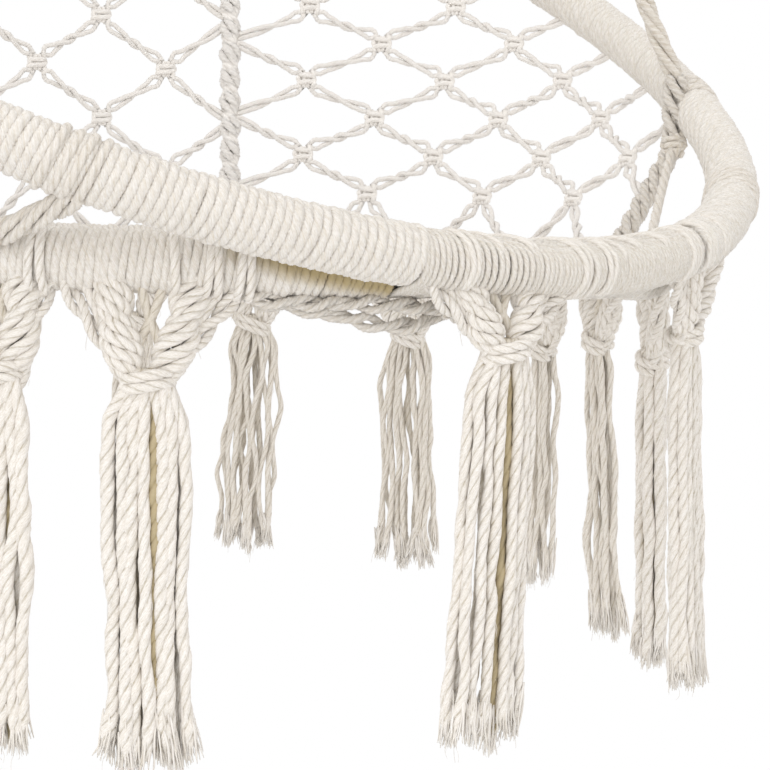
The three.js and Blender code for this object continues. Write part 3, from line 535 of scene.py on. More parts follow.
def wound(weave, hoop, start, end, coil, cord, pitch, steps, lay, lean, uneven, shape, loose):
    """One cord wound round a hoop's centre line from one angle to another."""
    random = weave.random
    room = END_ROOM * (cord / WRAP_CORD)
    length = math.radians(end - start) * hoop.radius - 2 * room
    turns = max(1, int(length / pitch))
    widths = 1 + random.normal(0, uneven, turns)
    bundle_ends = np.cumsum(random.integers(*BUNDLE_TURNS, turns))
    widths[bundle_ends[bundle_ends < turns]] += uneven
    stations = np.concatenate([[0], np.cumsum(widths)])
    stations *= length / stations[-1]
    samples = turns * steps + 1
    turn = np.linspace(0, turns, samples)
    place = np.interp(turn, np.arange(turns + 1), stations)
    phi = TAU * turn + math.pi
    drift = smooth_noise(random, samples, DRIFT_SHARE * pitch, steps / 5)
    degrees = start + hoop.degrees(place + lean * np.sin(phi) + drift + room)
    outward = hoop.out(degrees) * np.cos(phi)[:, None] + hoop.axis * np.sin(phi)[:, None]
    reach = coil + smooth_noise(random, samples, loose, steps / 3)
    path = hoop.at(degrees) + outward * reach[:, None]
    radius = cord * (1 + smooth_noise(random, samples, uneven, steps / 2))
    weave.tubes(path, radius, outward, shape, lay, crevice_shade(hoop, path))


for seed, (name, hoop, start, end) in enumerate((
    ("seat_hoop_wrap_right", SEAT, float(seat_angle(LASH_END)), SEAT_SPLIT),
    ("seat_hoop_wrap_rear", SEAT, SEAT_SPLIT, 360.0 - SEAT_SPLIT),
    ("seat_hoop_wrap_left", SEAT, 360.0 - SEAT_SPLIT, 360.0 - float(seat_angle(LEFT_LASH_END))),
    ("back_hoop_wrap_right", BACK, LASH_END, REAR_HITCH),
    ("back_hoop_wrap_top", BACK, REAR_HITCH, 360.0 - REAR_HITCH),
    ("back_hoop_wrap_left", BACK, 360.0 - REAR_HITCH, 360.0 - LEFT_LASH_END),
)):
    weave = Weave(10 + seed)
    cord, pitch, uneven, loose = SEAT_WRAP if hoop is SEAT else BACK_WRAP
    wound(weave, hoop, start, end, WRAP_COIL + WRAP_CORD - cord, cord, pitch, WRAP_STEPS, WRAP_LAY,
          WRAP_LEAN, uneven, WRAP_PLY, loose)
    weave.piece(name, WRAP)


# The lashing over both hoops at the front

LASH_CORD = 1.9
LASH_PITCH = 2.6
LASH_COIL = 13.0
LASH_STEPS = 64
LASH_LAY = 17.0
LASH_ROOM = 0.5  # at each end
LEFT_GAP_DEGREES = 0.25  # between the lashing and the left wraps
LASH_SHIFT = 44.0  # how far a turn runs to the side as it crosses over the top
LASH_EASE = 60.0
OVER_CORD = 1.8
OVER_COIL = 14.9
OVER_WIDTH_SHARE = 2.05  # from one of these cords to the next, in their radii
OVER_SAMPLES = 56
OVER_LAY = 18.0
OVER_DIP = 3.6  # how deep their ends dive between the others
OVER_DIP_SHARE = 0.05


def lashed(degrees, share, lift):
    """Points on a loop round both hoops, and the way out there. The loop starts on the seat
    hoop's top, goes over the back hoop's outer side and comes back below."""
    seat, back = SEAT.at(seat_angle(degrees)), BACK.at(degrees)
    gap = np.linalg.norm(back - seat, axis=-1)
    across = unit(back - seat)
    along = SEAT.along(seat_angle(degrees))
    up = unit(np.cross(across, along))
    arc = math.pi * lift
    s = share * 2 * (gap + arc)
    forth = np.clip(s / gap, 0, 1) - np.clip((s - gap - arc) / gap, 0, 1)
    angle = math.pi * (
        np.clip((s - gap) / arc, 0, 1) + np.clip((s - 2 * gap - arc) / arc, 0, 1)
    )
    out = up * np.cos(angle)[:, None] + across * np.sin(angle)[:, None]
    return seat + (back - seat) * forth[:, None] + out * lift, out


def lash_shift(share):
    """How far to the side a turn has run: over the top it goes, and below it comes back."""
    return ease((share - 0.02) / 0.30) - ease((share - 0.55) / 0.35)


# Groups of thicker cords that come over the lashing to a tassel's head: middle, how many, how far
# they run to the side, and where they start and stop round the loop
OVER_GROUPS = (
    (-9.4, 2, 12.0, 0.16, 0.50), (2.2, 3, 22.0, 0.08, 0.52),
    (4.8, 2, 10.0, 0.18, 0.50), (-3.0, 2, 30.0, 0.04, 0.30), (9.5, 2, 30.0, 0.04, 0.31),
    (13.5, 2, 26.0, 0.04, 0.33), (-6.5, 1, 26.0, 0.03, 0.32), (6.8, 1, 30.0, 0.04, 0.34),
    (17.5, 3, 12.0, 0.14, 0.52), (21.0, 3, 8.0, 0.20, 0.50), (24.5, 3, 4.0, 0.24, 0.48),
)


def add_lashing():
    weave = Weave(20)
    random = weave.random
    start = -LEFT_LASH_END - LEFT_GAP_DEGREES
    zone = math.radians(LASH_END - start) * BACK_RADIUS - 2 * LASH_ROOM
    turns = int(zone / LASH_PITCH)
    turn = np.linspace(0, turns, turns * LASH_STEPS + 1)
    base = turn * LASH_PITCH
    share = turn % 1.0
    side_run = LASH_SHIFT * ease(np.minimum(base, zone - base) / LASH_EASE)
    place = base + side_run * (lash_shift(share) - 0.5)
    place = place + smooth_noise(random, len(turn), 0.20, LASH_STEPS / 5)
    lift = smooth_noise(random, len(turn), 0.25, LASH_STEPS / 3)
    centre, out = lashed(start + BACK.degrees(place + LASH_ROOM), share, LASH_COIL)
    weave.tubes(centre + out * lift[:, None], LASH_CORD, out, THREE_PLY, LASH_LAY)
    for middle, count, run, first, last in OVER_GROUPS:
        for cord in range(count):
            share = np.linspace(first, last, OVER_SAMPLES)
            wander = smooth_noise(random, OVER_SAMPLES, 0.7, 12)
            sideways = run * (lash_shift(share) - lash_shift(last))
            beside = (cord - (count - 1) / 2) * OVER_WIDTH_SHARE * OVER_CORD
            at = middle + BACK.degrees(beside + sideways + wander)
            centre, out = lashed(at, share, OVER_COIL)
            dip = OVER_DIP * (1 - ease(np.minimum(share - first, last - share) / OVER_DIP_SHARE))
            radius = OVER_CORD * random.uniform(0.85, 1.1)
            weave.tubes(centre - out * dip[:, None], radius, out, WRAP_PLY, OVER_LAY)
    weave.piece("front_lashing", WRAP)


add_lashing()


# Hitches and ties

HITCH_COIL = WRAP_OUTER - 1.2
HITCH_STEPS = 56
HITCH_LAY = 24.0
HITCH_LEAN = 1.5
HITCH_MARGIN = 0.9  # in turns
HITCH = (3, 3.1, 6.9)  # turns, cord, pitch
TIE = (4, 2.6, 5.8)
# Plies of a tie: how many, radius of their coil, lay, radius and lay of a ply
TIE_TWINE = (4, 3.9, 82.0, 3.0, 30.0)
TIE_SAG = 1.5


def seed_of(name):
    """A small seed from a piece's name, the same in every run."""
    return sum((index + 3) * ord(letter) for index, letter in enumerate(name))


def hitch(name, degrees, turns, cord, pitch):
    weave = Weave(seed_of(name))
    half = BACK.degrees(pitch * (turns + HITCH_MARGIN) / 2)
    wound(weave, BACK, degrees - half, degrees + half, HITCH_COIL, cord, pitch, HITCH_STEPS,
          HITCH_LAY, HITCH_LEAN, 0.03, DEEP_PLY, 0.25)
    weave.piece(name, ROPE)


for name, side in SIDES:
    hitch("side_hitch_" + name, side * SIDE_HITCH, *HITCH)
    hitch("rear_hitch_" + name, side * REAR_HITCH, *HITCH)
    hitch("hoop_tie_hitch_" + name, side * TIE_HITCH, *TIE)

for name, side in SIDES:
    weave = Weave(40 + side)
    start = BACK.at(side * (TIE_HITCH - 1.5), 7.0, -8.0)
    end = SEAT.at(side * TIE_LANDING, 14.0, 7.0)
    path = spline([start, lerp(start, end, 0.5) - Z * TIE_SAG, end])
    add_twine(weave, path, unit(end * LEVEL) + Z, *TIE_TWINE)
    weave.piece("hoop_tie_braid_" + name, ROPE)


# Ropes, their whipping and the ring's cord wrap

ROPE_OFFSET = 6.3  # of each fall from the middle of the four
ROPE_STEP = 3.0
ROPE_PLIES = 4
ROPE_PLY = 3.1
ROPE_PLY_COIL = 3.6
ROPE_LAY = 84.0
ROPE_PLY_LAY = 17.0
ROPE_LOOSE = 0.25
ROPE_UP = np.array([1.0, 0.15, 0.0])  # a direction that no rope runs in
BIGHT_RADIUS = 14.7
BEND_SHARE = 0.055  # how far down its leg a rope bends
WHIPPING_CORD = 1.55
WHIPPING_TURNS = 11
WHIPPING_STEPS = 48
WHIPPING_LAY = 16.0


def rope_path(side):
    x = side * ROPE_OFFSET

    def leg(back, degrees):
        fall = [np.array([x, SETBACK + back * ROPE_OFFSET, WHIPPING_MIDDLE + WHIPPING_HALF * rise])
                for rise in (-1.4, 1.3)]
        hitch_at = BACK.at(side * degrees, -13.0, 8.0)
        way = unit(fall[0] - hitch_at)
        bend = lerp(fall[0], hitch_at, BEND_SHARE)
        bend[:2] = (bend[:2] + fall[0][:2]) / 2
        return [hitch_at + way * 4.0, lerp(hitch_at, bend, 0.5), bend, *fall]

    over = [BAR + np.array([x, -BIGHT_RADIUS * math.cos(a), BIGHT_RADIUS * math.sin(a)])
            for a in np.linspace(0, math.pi, 9)]
    return spline([*leg(-1, SIDE_HITCH), *over, *leg(1, REAR_HITCH)[::-1]], ROPE_STEP)


for name, side in SIDES:
    weave = Weave(50 + side)
    path = rope_path(side)
    paths, away = twine(path, ROPE_UP, ROPE_PLIES, ROPE_PLY_COIL, ROPE_LAY)
    for ply in range(ROPE_PLIES):
        for axis in range(3):
            paths[ply, :, axis] += smooth_noise(weave.random, len(path), ROPE_LOOSE, 12)
    weave.tubes(paths, ROPE_PLY, away, THREE_PLY, ROPE_PLY_LAY)
    weave.piece("suspension_rope_" + name, ROPE)

weave = Weave(53)
turn = np.linspace(0, WHIPPING_TURNS, WHIPPING_TURNS * WHIPPING_STEPS + 1)
out = np.stack([np.cos(TAU * turn), np.sin(TAU * turn), 0 * turn], axis=1)
rise = WHIPPING_MIDDLE + (turn / WHIPPING_TURNS - 0.5) * (2 * WHIPPING_HALF - 3.2)
path = np.array([0.0, SETBACK, 0.0]) + out * WHIPPING_RADIUS + rise[:, None] * Z
weave.tubes(path, WHIPPING_CORD, out, THREE_PLY, WHIPPING_LAY)
weave.piece("rope_whipping", ROPE)

weave = Weave(54)
wound(weave, WIRE, -40.0, 40.0, 5.95, 0.85, 1.75, 28, 9.0, 0.0, 0.03, THREE_PLY, 0.03)
weave.piece("ring_cord_wrap", ROPE, "ring_wrap")


# Sinnets between the hoops

DROP_KNOT_DEPTH = 41.0
DROP_KNOT = (7.0, 5.0, 6.0)
HOOP_ROOM = 13.0  # how far from a hoop's centre line the cords between the hoops stop
REAR_LUMP = 19.0  # from one lump of the rear sinnet to the next


def meeting(start, end, start_room, end_room):
    """The two ends of a straight run, held back from both centre lines."""
    way = unit(end - start)
    return start + way * start_room, end - way * end_room


for name, side in SIDES:
    top = BACK.at(side * SIDE_HITCH, -18.0, 11.0)
    knot = top - Z * DROP_KNOT_DEPTH
    foot = SEAT.at(side * SIDE_HITCH)
    facing = unit(top * LEVEL)
    weave = Weave(60 + side)
    path = spline([top + Z * 6.0, lerp(top, knot, 0.6) + facing * 1.5, knot])
    swell = 5.4 + 1.4 * np.sin(np.linspace(0, math.pi, len(path))) ** 2
    add_twine(weave, path, facing, 4, swell, 60.0, 3.5, 24.0)
    right = unit(np.cross(Z, facing))
    axes = np.stack([right, Z, np.cross(right, Z)])
    square_knots(weave, knot, axes, DROP_KNOT, 2.1, 20.0, 2)
    run = foot - knot
    path = spline([knot - Z * 3.0, knot + run * 0.25 - Z * 2.0, foot - unit(run) * 12.0])
    add_twine(weave, path, Z, 3, 4.1, 40.0, 3.5, 26.0)
    weave.piece("drop_sinnet_" + name, ROPE)

    weave = Weave(62 + side)
    start, end = meeting(knot, SEAT.at(side * DROP_STRAND_SEAT), 9.0, 12.0)
    path = spline([start, lerp(start, end, 0.5) + Z * 2.0, end])
    weave.tubes(path, 3.3, Z, DEEP_PLY, 30.0)
    weave.piece("drop_strand_" + name, ROPE)

    weave = Weave(64 + side)
    start, end = SEAT.at(side * REAR_SINNET), BACK.at(side * REAR_HITCH)
    start, end = meeting(start, end, HOOP_ROOM, HOOP_ROOM)
    path = lerp(start, end, np.linspace(0, 1, int(np.linalg.norm(end - start) / STEP)))
    swell = 4.2 + 1.4 * np.sin(TAU * runs(path) / REAR_LUMP)
    add_twine(weave, path, unit(start * LEVEL), 4, swell, 46.0, 3.6, 26.0)
    weave.piece("rear_sinnet_" + name, NET)


# Nets

NET_CORD = 2.0
NET_LAY = 17.0
NET_KNOT = np.array([4.4, 4.1, 2.8])
NET_HEAD_ROOM = 30.0
ARM_STEPS = ((1, 1), (-1, 1), (-1, -1), (1, -1))
PORTS_SHARE = ((1.0, 1.45), (0.42, 1.5))  # where its cords leave a knot, in knot sizes
LINK_SAMPLES = 25
LINK_HALF_SHARE = 0.95
LINK_HOLE = 1.5  # how far the pair opens beside a knot
LINK_HOLE_AT = 6.5
LINK_HOLE_LENGTH = 4.0
LINK_STILL = 9.0  # how far from its knots a pair doesn't twist
LINK_LEAST_TWIST = 6.0
LINK_LONG = 26.0  # a longer pair may twist twice
LINK_SAG = 0.9
KNOT_HOLD = 3.0  # how far along a cord its knot's own place for it is felt
HOOP_HOLD = 2.0
BORDER_SHARE = 0.93  # how far a cord runs to the knot beyond its panel's side
# Back nets: columns, the first row's height, from row to row, and which knots come first
SIDE_NET = (8, 45.0, 28.6, 0)
REAR_NET = (10, 57.0, 39.0, 1)
REAR_NET_STEP_DEGREES = 9.2
SIDE_NET_EASE = 0.22
SEAT_MESH = 70.0
SEAT_SAG = 20.0


def bell(distance, width):
    return np.exp(-((distance / width) ** 2))


class Net:
    """Square knots whose four arms are pairs of cords to the next knots or to the hoops."""

    def __init__(self, seed):
        self.weave = Weave(seed)
        self.knots = {}

    def put(self, column, row, place):
        self.knots[(column, row)] = {"place": np.asarray(place, float)}

    def connect(self, end_for):
        for (column, row), knot in self.knots.items():
            place = knot["place"]
            knot["arms"] = []
            for across, up in ARM_STEPS:
                other = (column + across, row + up)
                if other in self.knots:
                    knot["arms"].append((other, self.knots[other]["place"]))
                else:
                    knot["arms"].append((None, end_for(place, *other, across, up)))
            ways = [unit(end - place) for _, end in knot["arms"]]
            up = unit(ways[0] + ways[1] - ways[2] - ways[3])
            right = ways[0] + ways[3] - ways[1] - ways[2]
            right = unit(right - up * (right @ up))
            knot["axes"] = np.stack([right, up, np.cross(right, up)])

    def ports(self, knot, arm):
        """Where the working cord and the filler leave a knot."""
        across, up = ARM_STEPS[arm]
        return [knot["place"] + (np.array([x * across, y * up, 0.0]) * NET_KNOT) @ knot["axes"]
                for x, y in PORTS_SHARE]

    def link(self, a, arm, b, end):
        """The pair of cords from one knot's arm to the facing arm of another, or to a hoop."""
        random = self.weave.random
        share = np.linspace(0, 1, LINK_SAMPLES)
        starts = self.ports(a, arm)
        if b is None:
            normal = a["axes"][2]
            side = unit(np.cross(normal, unit(end - a["place"])))
            ends = [end + side * NET_CORD, end - side * NET_CORD]
        else:
            ends = self.ports(b, (arm + 2) % 4)[::-1]
            normal = unit(a["axes"][2] + b["axes"][2])
        middle_a, middle_b = np.mean(starts, axis=0), np.mean(ends, axis=0)
        length = np.linalg.norm(middle_b - middle_a)
        side = unit(np.cross(normal, (middle_b - middle_a) / length))
        first = 1.0 if (starts[0] - middle_a) @ side > 0 else -1.0
        near, far = share * length, (1 - share) * length
        hold, hold_far = bell(near, KNOT_HOLD), bell(far, HOOP_HOLD if b is None else KNOT_HOLD)
        hole = LINK_HOLE * random.uniform(0.5, 1.5)
        hole_far = 0.0 if b is None else LINK_HOLE * random.uniform(0.3, 1.4)
        half = NET_CORD * LINK_HALF_SHARE + hole * bell(near - LINK_HOLE_AT, LINK_HOLE_LENGTH)
        half = half + hole_far * bell(far - LINK_HOLE_AT, LINK_HOLE_LENGTH)
        twists = random.choice([1.0, 2.0]) if length > LINK_LONG else 1.0
        twisting = max(length - 2 * LINK_STILL, LINK_LEAST_TWIST)
        turn = math.pi * twists * ease((near - LINK_STILL) / twisting)
        away = np.cos(turn)[:, None] * side + np.sin(turn)[:, None] * normal
        line = lerp(middle_a, middle_b, share) - LINK_SAG * np.sin(math.pi * share)[:, None] * Z
        weight = np.clip(hold + hold_far, 0, 1)[:, None]
        paths = []
        for which, sign in ((0, first), (1, -first)):
            loose = line + sign * half[:, None] * away
            finish = ends[which] if twists % 2 else ends[1 - which]
            offset_a, offset_b = starts[which] - middle_a, finish - middle_b
            pinned = line + offset_a * hold[:, None] + offset_b * hold_far[:, None]
            paths.append(loose * (1 - weight) + pinned * weight)
        self.weave.tubes(np.array(paths), NET_CORD, normal, THREE_PLY, NET_LAY)

    def build(self, node, end_for):
        self.connect(end_for)
        places = np.array([knot["place"] for knot in self.knots.values()])
        axes = np.array([knot["axes"] for knot in self.knots.values()])
        square_knots(self.weave, places, axes, NET_KNOT, NET_CORD, NET_LAY)
        for key, knot in self.knots.items():
            for arm, (other, place) in enumerate(knot["arms"]):
                if other is None:
                    self.link(knot, arm, None, place)
                elif other > key:
                    self.link(knot, arm, self.knots[other], None)
        self.weave.piece(node, NET)


def back_hoop_angle(seat_degrees):
    from_front, side = abs(seat_degrees), math.copysign(1, seat_degrees)
    if from_front > REAR_SINNET:
        stretch = (180.0 - REAR_HITCH) / (180.0 - REAR_SINNET)
        return side * (180.0 - (180.0 - from_front) * stretch)
    stretch = (REAR_HITCH - SIDE_HITCH) / (REAR_SINNET - SIDE_HITCH)
    return side * (SIDE_HITCH + (from_front - SIDE_HITCH) * stretch)


def back_net_point(seat_degrees, height):
    low, high = SEAT.at(seat_degrees), BACK.at(back_hoop_angle(seat_degrees))
    return lerp(low, high, float(np.clip(height / high[2], 0, 1)))


def back_panel(node, seed, angle_of, columns, first_row, row_height, odd):
    net = Net(seed)

    def height_of(row):
        return first_row + row_height * row

    def roof(column):
        return BACK.at(back_hoop_angle(angle_of(column)))[2] - NET_HEAD_ROOM

    for column in range(1, columns):
        row = 0
        while height_of(row) < roof(column):
            if (column + row) % 2 == odd:
                net.put(column, row, back_net_point(angle_of(column), height_of(row)))
            row += 1

    def end_for(place, column, row, across, up):
        angle = angle_of(column)
        if (column <= 0 or column >= columns) and row >= 0 and height_of(row) <= roof(column):
            return lerp(place, back_net_point(angle, height_of(row)), BORDER_SHARE)
        target = BACK.at(back_hoop_angle(angle)) if up > 0 else SEAT.at(angle)
        return target - unit(target - place) * HOOP_ROOM

    net.build(node, end_for)


def side_net_angle(column):
    share = column / SIDE_NET[0]
    return REAR_SINNET + (SIDE_HITCH - REAR_SINNET) * share * (1 + SIDE_NET_EASE * (1 - share))


for name, side in SIDES:
    back_panel("back_net_" + name, 70 + side, lambda column, s=side: s * side_net_angle(column),
               *SIDE_NET)
back_panel("back_net_rear", 74, lambda column: REAR_SINNET + REAR_NET_STEP_DEGREES * column,
           *REAR_NET)


def add_seat_net():
    net = Net(76)
    step = SEAT_MESH / math.sqrt(2)
    inner = SEAT_RADIUS - WRAP_OUTER
    most = math.ceil(inner / step)
    for column in range(-most, most + 1):
        for row in range(-most, most + 1):
            x, y = column * step, row * step
            if (column + row) % 2 == 0 and math.hypot(x, y) < inner - step / 2:
                drop = -SEAT_SAG * (1 - min(1.0, (x * x + y * y) / inner**2))
                net.put(column, row, (x, y, drop))

    def end_for(place, column, row, across, up):
        way = unit(np.array([across, up, 0.0]))
        flat = place * LEVEL
        along = flat @ way
        reach = SEAT_RADIUS - 12.0
        return flat + way * (-along + math.sqrt(along**2 + reach**2 - flat @ flat))

    net.build("seat_net", end_for)


add_seat_net()


# Rear tassels: angle round the seat hoop, and length as a share
REAR_TASSELS = ((168.0, 1.0), (189.0, 0.985), (211.0, 1.01), (233.0, 0.99), (256.0, 1.0),
                (281.0, 1.01))
# Tassels: hoop, angle round it, the head's half width and the length as shares, the knot's depth,
# how far the knot and the foot hang to the side, the skirt's width as a share, how wavy it is
TASSELS = (
    (SEAT, -51.7, 0.55, 0.98, 59.0, 0.5, 3.0, 0.80, 1.0),
    (SEAT, -38.0, 0.97, 1.02, 60.0, -1.2, 5.0, 1.06, 1.0),
    (BACK, -5.4, 1.0, 0.987, 42.3, 1.9, -2.5, 1.08, 1.0),
    (BACK, 24.7, 1.0, 0.985, 38.0, -2.6, 6.5, 1.08, 1.0),
    (SEAT, 51.0, 0.8, 1.04, 60.0, -1.0, 5.1, 0.85, 1.1),
    (SEAT, 69.6, 0.7, 1.045, 53.6, -4.0, 8.9, 0.80, 1.6),
    (SEAT, 83.3, 0.66, 0.946, 63.0, -1.0, 0.4, 0.60, 1.3),
    (SEAT, 107.9, 0.9, 0.963, 61.7, 2.8, 6.7, 1.20, 2.2),
    (SEAT, 130.6, 0.9, 0.942, 58.0, 0.0, -2.6, 1.10, 2.4),
    (SEAT, 147.4, 0.8, 0.945, 59.0, 0.0, 1.5, 0.80, 1.8),
    *((SEAT, degrees, 0.95, length, 59.0, 0.0, 0.0, 0.95, 1.6) for degrees, length in REAR_TASSELS),
)
# Turns of a head's cords over the hoop: how far to the side, and how far each leans, by tassel
LOOPS = {
    2: ((12.0, -3.0), (24.0, 4.0), (31.0, -2.0), (39.0, 3.0), (46.0, -2.0)),
    1: ((14.0, 3.0), (22.0, -2.0)),
    6: ((-10.0, 3.0), (12.0, -3.0)),
}
# Where a skirt's cords part: how far the back row is moved across, then places across the skirt
# and widths as shares, and whether a core cord with painted olive shade shows there
PARTED = {
    2: (0.0, ((0.25, 0.18, True),)),
    3: (-1.2, ((-0.35, 0.18, False), (0.10, 0.22, True))),
    4: (0.0, ((-0.20, 0.14, False), (0.45, 0.14, True))),
}
# Skirts that are drawn in over their lower half, by what share. Their partings close at the foot
WAISTS = {2: 0.19}
TASSEL_OUT = 9.0  # how far outside the seat hoop a tassel hangs
FRONT_OUT = 30.0
TASSEL_DROP = 240.0
SIDEWAYS = np.array([0.735, -0.678, 0.0])  # the way in which the knots and feet hang out of plumb
LOOSE_FROM = 1.2  # wavier skirts are loose, with thinner cords

HEAD_HALF_WIDTH = 45.0
HEAD_LAY = -24.0
STRAND = 2.7
THIN_STRAND = 2.5
# Painted shade on the head's inner strands
INNER_SHADE = 0.25
LOOP_CORD = 2.4
LOOP_LAY = -22.0
LOOP_COIL = 17.3
LOOP_SAMPLES = 24
BAND_STRANDS = 5
BAND_CORD = 3.15
BAND_HALF = 6.6
BAND_DEPTH = 4.2
BAND_LAY = 35.0
# Painted shade: a band's cords take olive near its middle, fading out by BAND_CORE
BAND_CORE = 4.8  # as far from a band's middle its cords are no longer brown
BAND_CORE_SHADE = 0.7
GATHER_CORD = 2.9
GATHER_TURNS = 2
GATHER_STEPS = 26
GATHER_HALF = 11.5
GATHER_DEPTH = 8.6
GATHER_PITCH = 5.2
GATHER_RISE = 0.28

SKIRT_CORD = 3.5
SKIRT_PITCH = 5.7
SKIRT_HALF = 17.2
SKIRT_LAY = -30.0
LOOSE_PITCH_SHARE = 1.02
LOOSE_CORD_SHARE = 0.62
FRONT_CORD_SHARE = 0.86
# The skirt's half width and half depth at shares of its length
SKIRT_SHAPE = (
    (-0.05, 6.5, 4.5), (0.03, 11.5, 7.0), (0.10, 15.9, 8.0), (0.22, 17.0, 8.0), (0.40, 17.2, 8.0),
    (0.56, 17.4, 8.0), (0.70, 17.6, 8.5), (0.84, 18.0, 8.5), (1.0, 19.0, 9.5),
)
# Painted shade: skirts take olive towards their middles, loose skirts a little all over, and the
# core cords inside them most
CORE_PLACES = (-0.45, 0.0, 0.45)  # of the brown cords inside a skirt
CORE_DEPTH = 9.0
CORE_SHADE = 0.45
LOOSE_SHADE = 0.1
LOOSE_CORE_SHADE = 0.2
CORE_CORD_SHADE = 0.85
CORD_DRIFT = 0.95
PARTED_DRIFT = 0.55
CORD_END = 6.0  # how far above the tassel's foot its cords end
END_FLARE = 0.3
FLARE_LENGTH = 22.0
END_CLOSING = 0.6
CLOSING_LENGTH = 12.0
FRAY_CORDS = 18
FRAY_CORD = 0.62
FRAY_PAST = 7.0
FRAY_SAMPLES = 7
FUZZ_FIBRES = 300
FUZZ_CORD = 0.13
FUZZ_LIFT = 0.35


class Tassel:
    def __init__(self, number, hoop, degrees, width, length, depth, shift, foot_shift, skirt, wavy):
        self.weave = Weave(100 + number)
        self.hoop, self.degrees = hoop, degrees
        self.back_shift, self.partings = PARTED.get(number, (0.0, ()))
        self.waist = WAISTS.get(number, 0.0)
        self.loose = wavy > LOOSE_FROM
        under_front = hoop is BACK
        angle = math.radians(float(seat_angle(degrees)) if under_front else degrees)
        self.out = np.array([math.sin(angle), -math.cos(angle), 0.0])
        self.across = np.array([math.cos(angle), math.sin(angle), 0.0])
        self.reach = SEAT_RADIUS + (FRONT_OUT if under_front else TASSEL_OUT)
        self.depth = depth
        self.shift, self.foot_shift = shift, foot_shift
        self.spread = width * HEAD_HALF_WIDTH
        self.foot = -TASSEL_DROP * length
        self.skirt_share, self.wavy = skirt, wavy
        self.shade = LOOSE_SHADE if self.loose else 0.0
        self.deep_shade = LOOSE_CORE_SHADE if self.loose else CORE_SHADE
        cord_share = FRONT_CORD_SHARE if under_front else 1.0
        self.cord = SKIRT_CORD * (LOOSE_CORD_SHARE if self.loose else cord_share)
        self.gather = self.at(0, 0, -depth) + SIDEWAYS * shift

    def at(self, across, out, z):
        return self.across * across + self.out * (self.reach + out) + Z * z

    def on_hoop(self, across):
        return self.hoop.at(self.degrees + float(self.hoop.degrees(across)), 6.0, -10.0)

    def strand(self, points, radius=STRAND, shade=0.0):
        self.weave.tubes(spline(points), radius, self.out, DEEP_PLY, HEAD_LAY, shade)

    def loop(self, across, lean):
        """A cord's turn up the hoop's outer side, over its wrap."""
        angle = np.radians(np.linspace(-95, 70, LOOP_SAMPLES))
        share = np.linspace(0, 1, LOOP_SAMPLES)
        degrees = self.degrees + self.hoop.degrees(across + lean * share)
        reach = LOOP_COIL - 3.0 * (1 - ease(np.minimum(share, 1 - share) / 0.12))
        path = self.hoop.at(degrees, np.cos(angle) * reach, np.sin(angle) * reach)
        self.weave.tubes(path, LOOP_CORD, self.out, DEEP_PLY, LOOP_LAY)

    def band(self, hand):
        """A lumpy bundle of thick cords, twisted inwards, from the hoop to the gathering knot."""
        start = self.on_hoop(hand * self.spread * 0.42)
        end = self.gather + self.across * hand * 7.0 + Z * 5.0
        bow = lerp(start, end, 0.5) + self.across * hand * 2.5 + self.out * 2.0
        path = spline([start + Z * 8.0, start, bow, end], FINE_STEP)
        share = np.linspace(0, 1, len(path))
        lump = 0.6 + 0.55 * np.abs(np.sin(TAU * (share + 0.04))) ** 0.7
        side, out = frames(path[None], self.out)
        lay = BAND_LAY * (1.15 + 0.15 * hand)
        turn = TAU * (np.arange(BAND_STRANDS)[:, None] / BAND_STRANDS - hand * runs(path) / lay)
        wide = (BAND_HALF * lump * np.cos(turn))[..., None] * side
        deep = (BAND_DEPTH * lump * np.sin(turn))[..., None] * out

        def core_shade(points):
            depth = np.linalg.norm(points - path[:, None], axis=-1)
            return BAND_CORE_SHADE * ease((BAND_CORE - depth) / 3.0)

        cords = path + wide + deep
        self.weave.tubes(cords, BAND_CORD, self.out, DEEP_PLY, HEAD_LAY, core_shade)
        return end

    def head(self):
        for hand in (-1, 1):
            end = self.band(hand)
            reach = self.across * hand
            edge, near, inner = (self.on_hoop(hand * self.spread * x) for x in (0.96, 0.72, 0.12))
            outer = [edge + Z * 7.0, edge, lerp(edge, self.gather, 0.5) + reach * 3.5,
                     self.gather + reach * 11.5 + Z * 6.0, self.gather + reach * 8.0 - Z * 4.0]
            add_twine(self.weave, spline(outer), self.out, 2, 2.5, -38.0, THIN_STRAND, -20.0)
            bow = lerp(near, end, 0.4) + reach * 2.0
            self.strand([near + Z * 7.0, near, bow, end + reach * 3.0])
            self.strand([inner + Z * 7.0, inner, lerp(inner, end, 0.35) - reach * 5.0,
                         lerp(inner, self.gather, 0.6) - reach * 7.0, self.gather - reach * 5.0],
                        THIN_STRAND, INNER_SHADE)
        self.gathering()

    def gathering(self):
        """The thick cord that is wound round the bundle, rising to one side."""
        share = np.linspace(0, 1, GATHER_TURNS * GATHER_STEPS)
        angle = TAU * GATHER_TURNS * share - math.pi / 2
        wide = GATHER_HALF * min(1.0, 0.35 + 0.65 * self.skirt_share)
        x, y = wide * np.sin(angle), GATHER_DEPTH * np.cos(angle)
        z = (0.5 - share) * GATHER_PITCH * GATHER_TURNS + x * GATHER_RISE + 2.0
        path = self.gather + x[:, None] * self.across + y[:, None] * self.out + z[:, None] * Z
        self.weave.tubes(path, GATHER_CORD, Z, DEEP_PLY, HEAD_LAY)

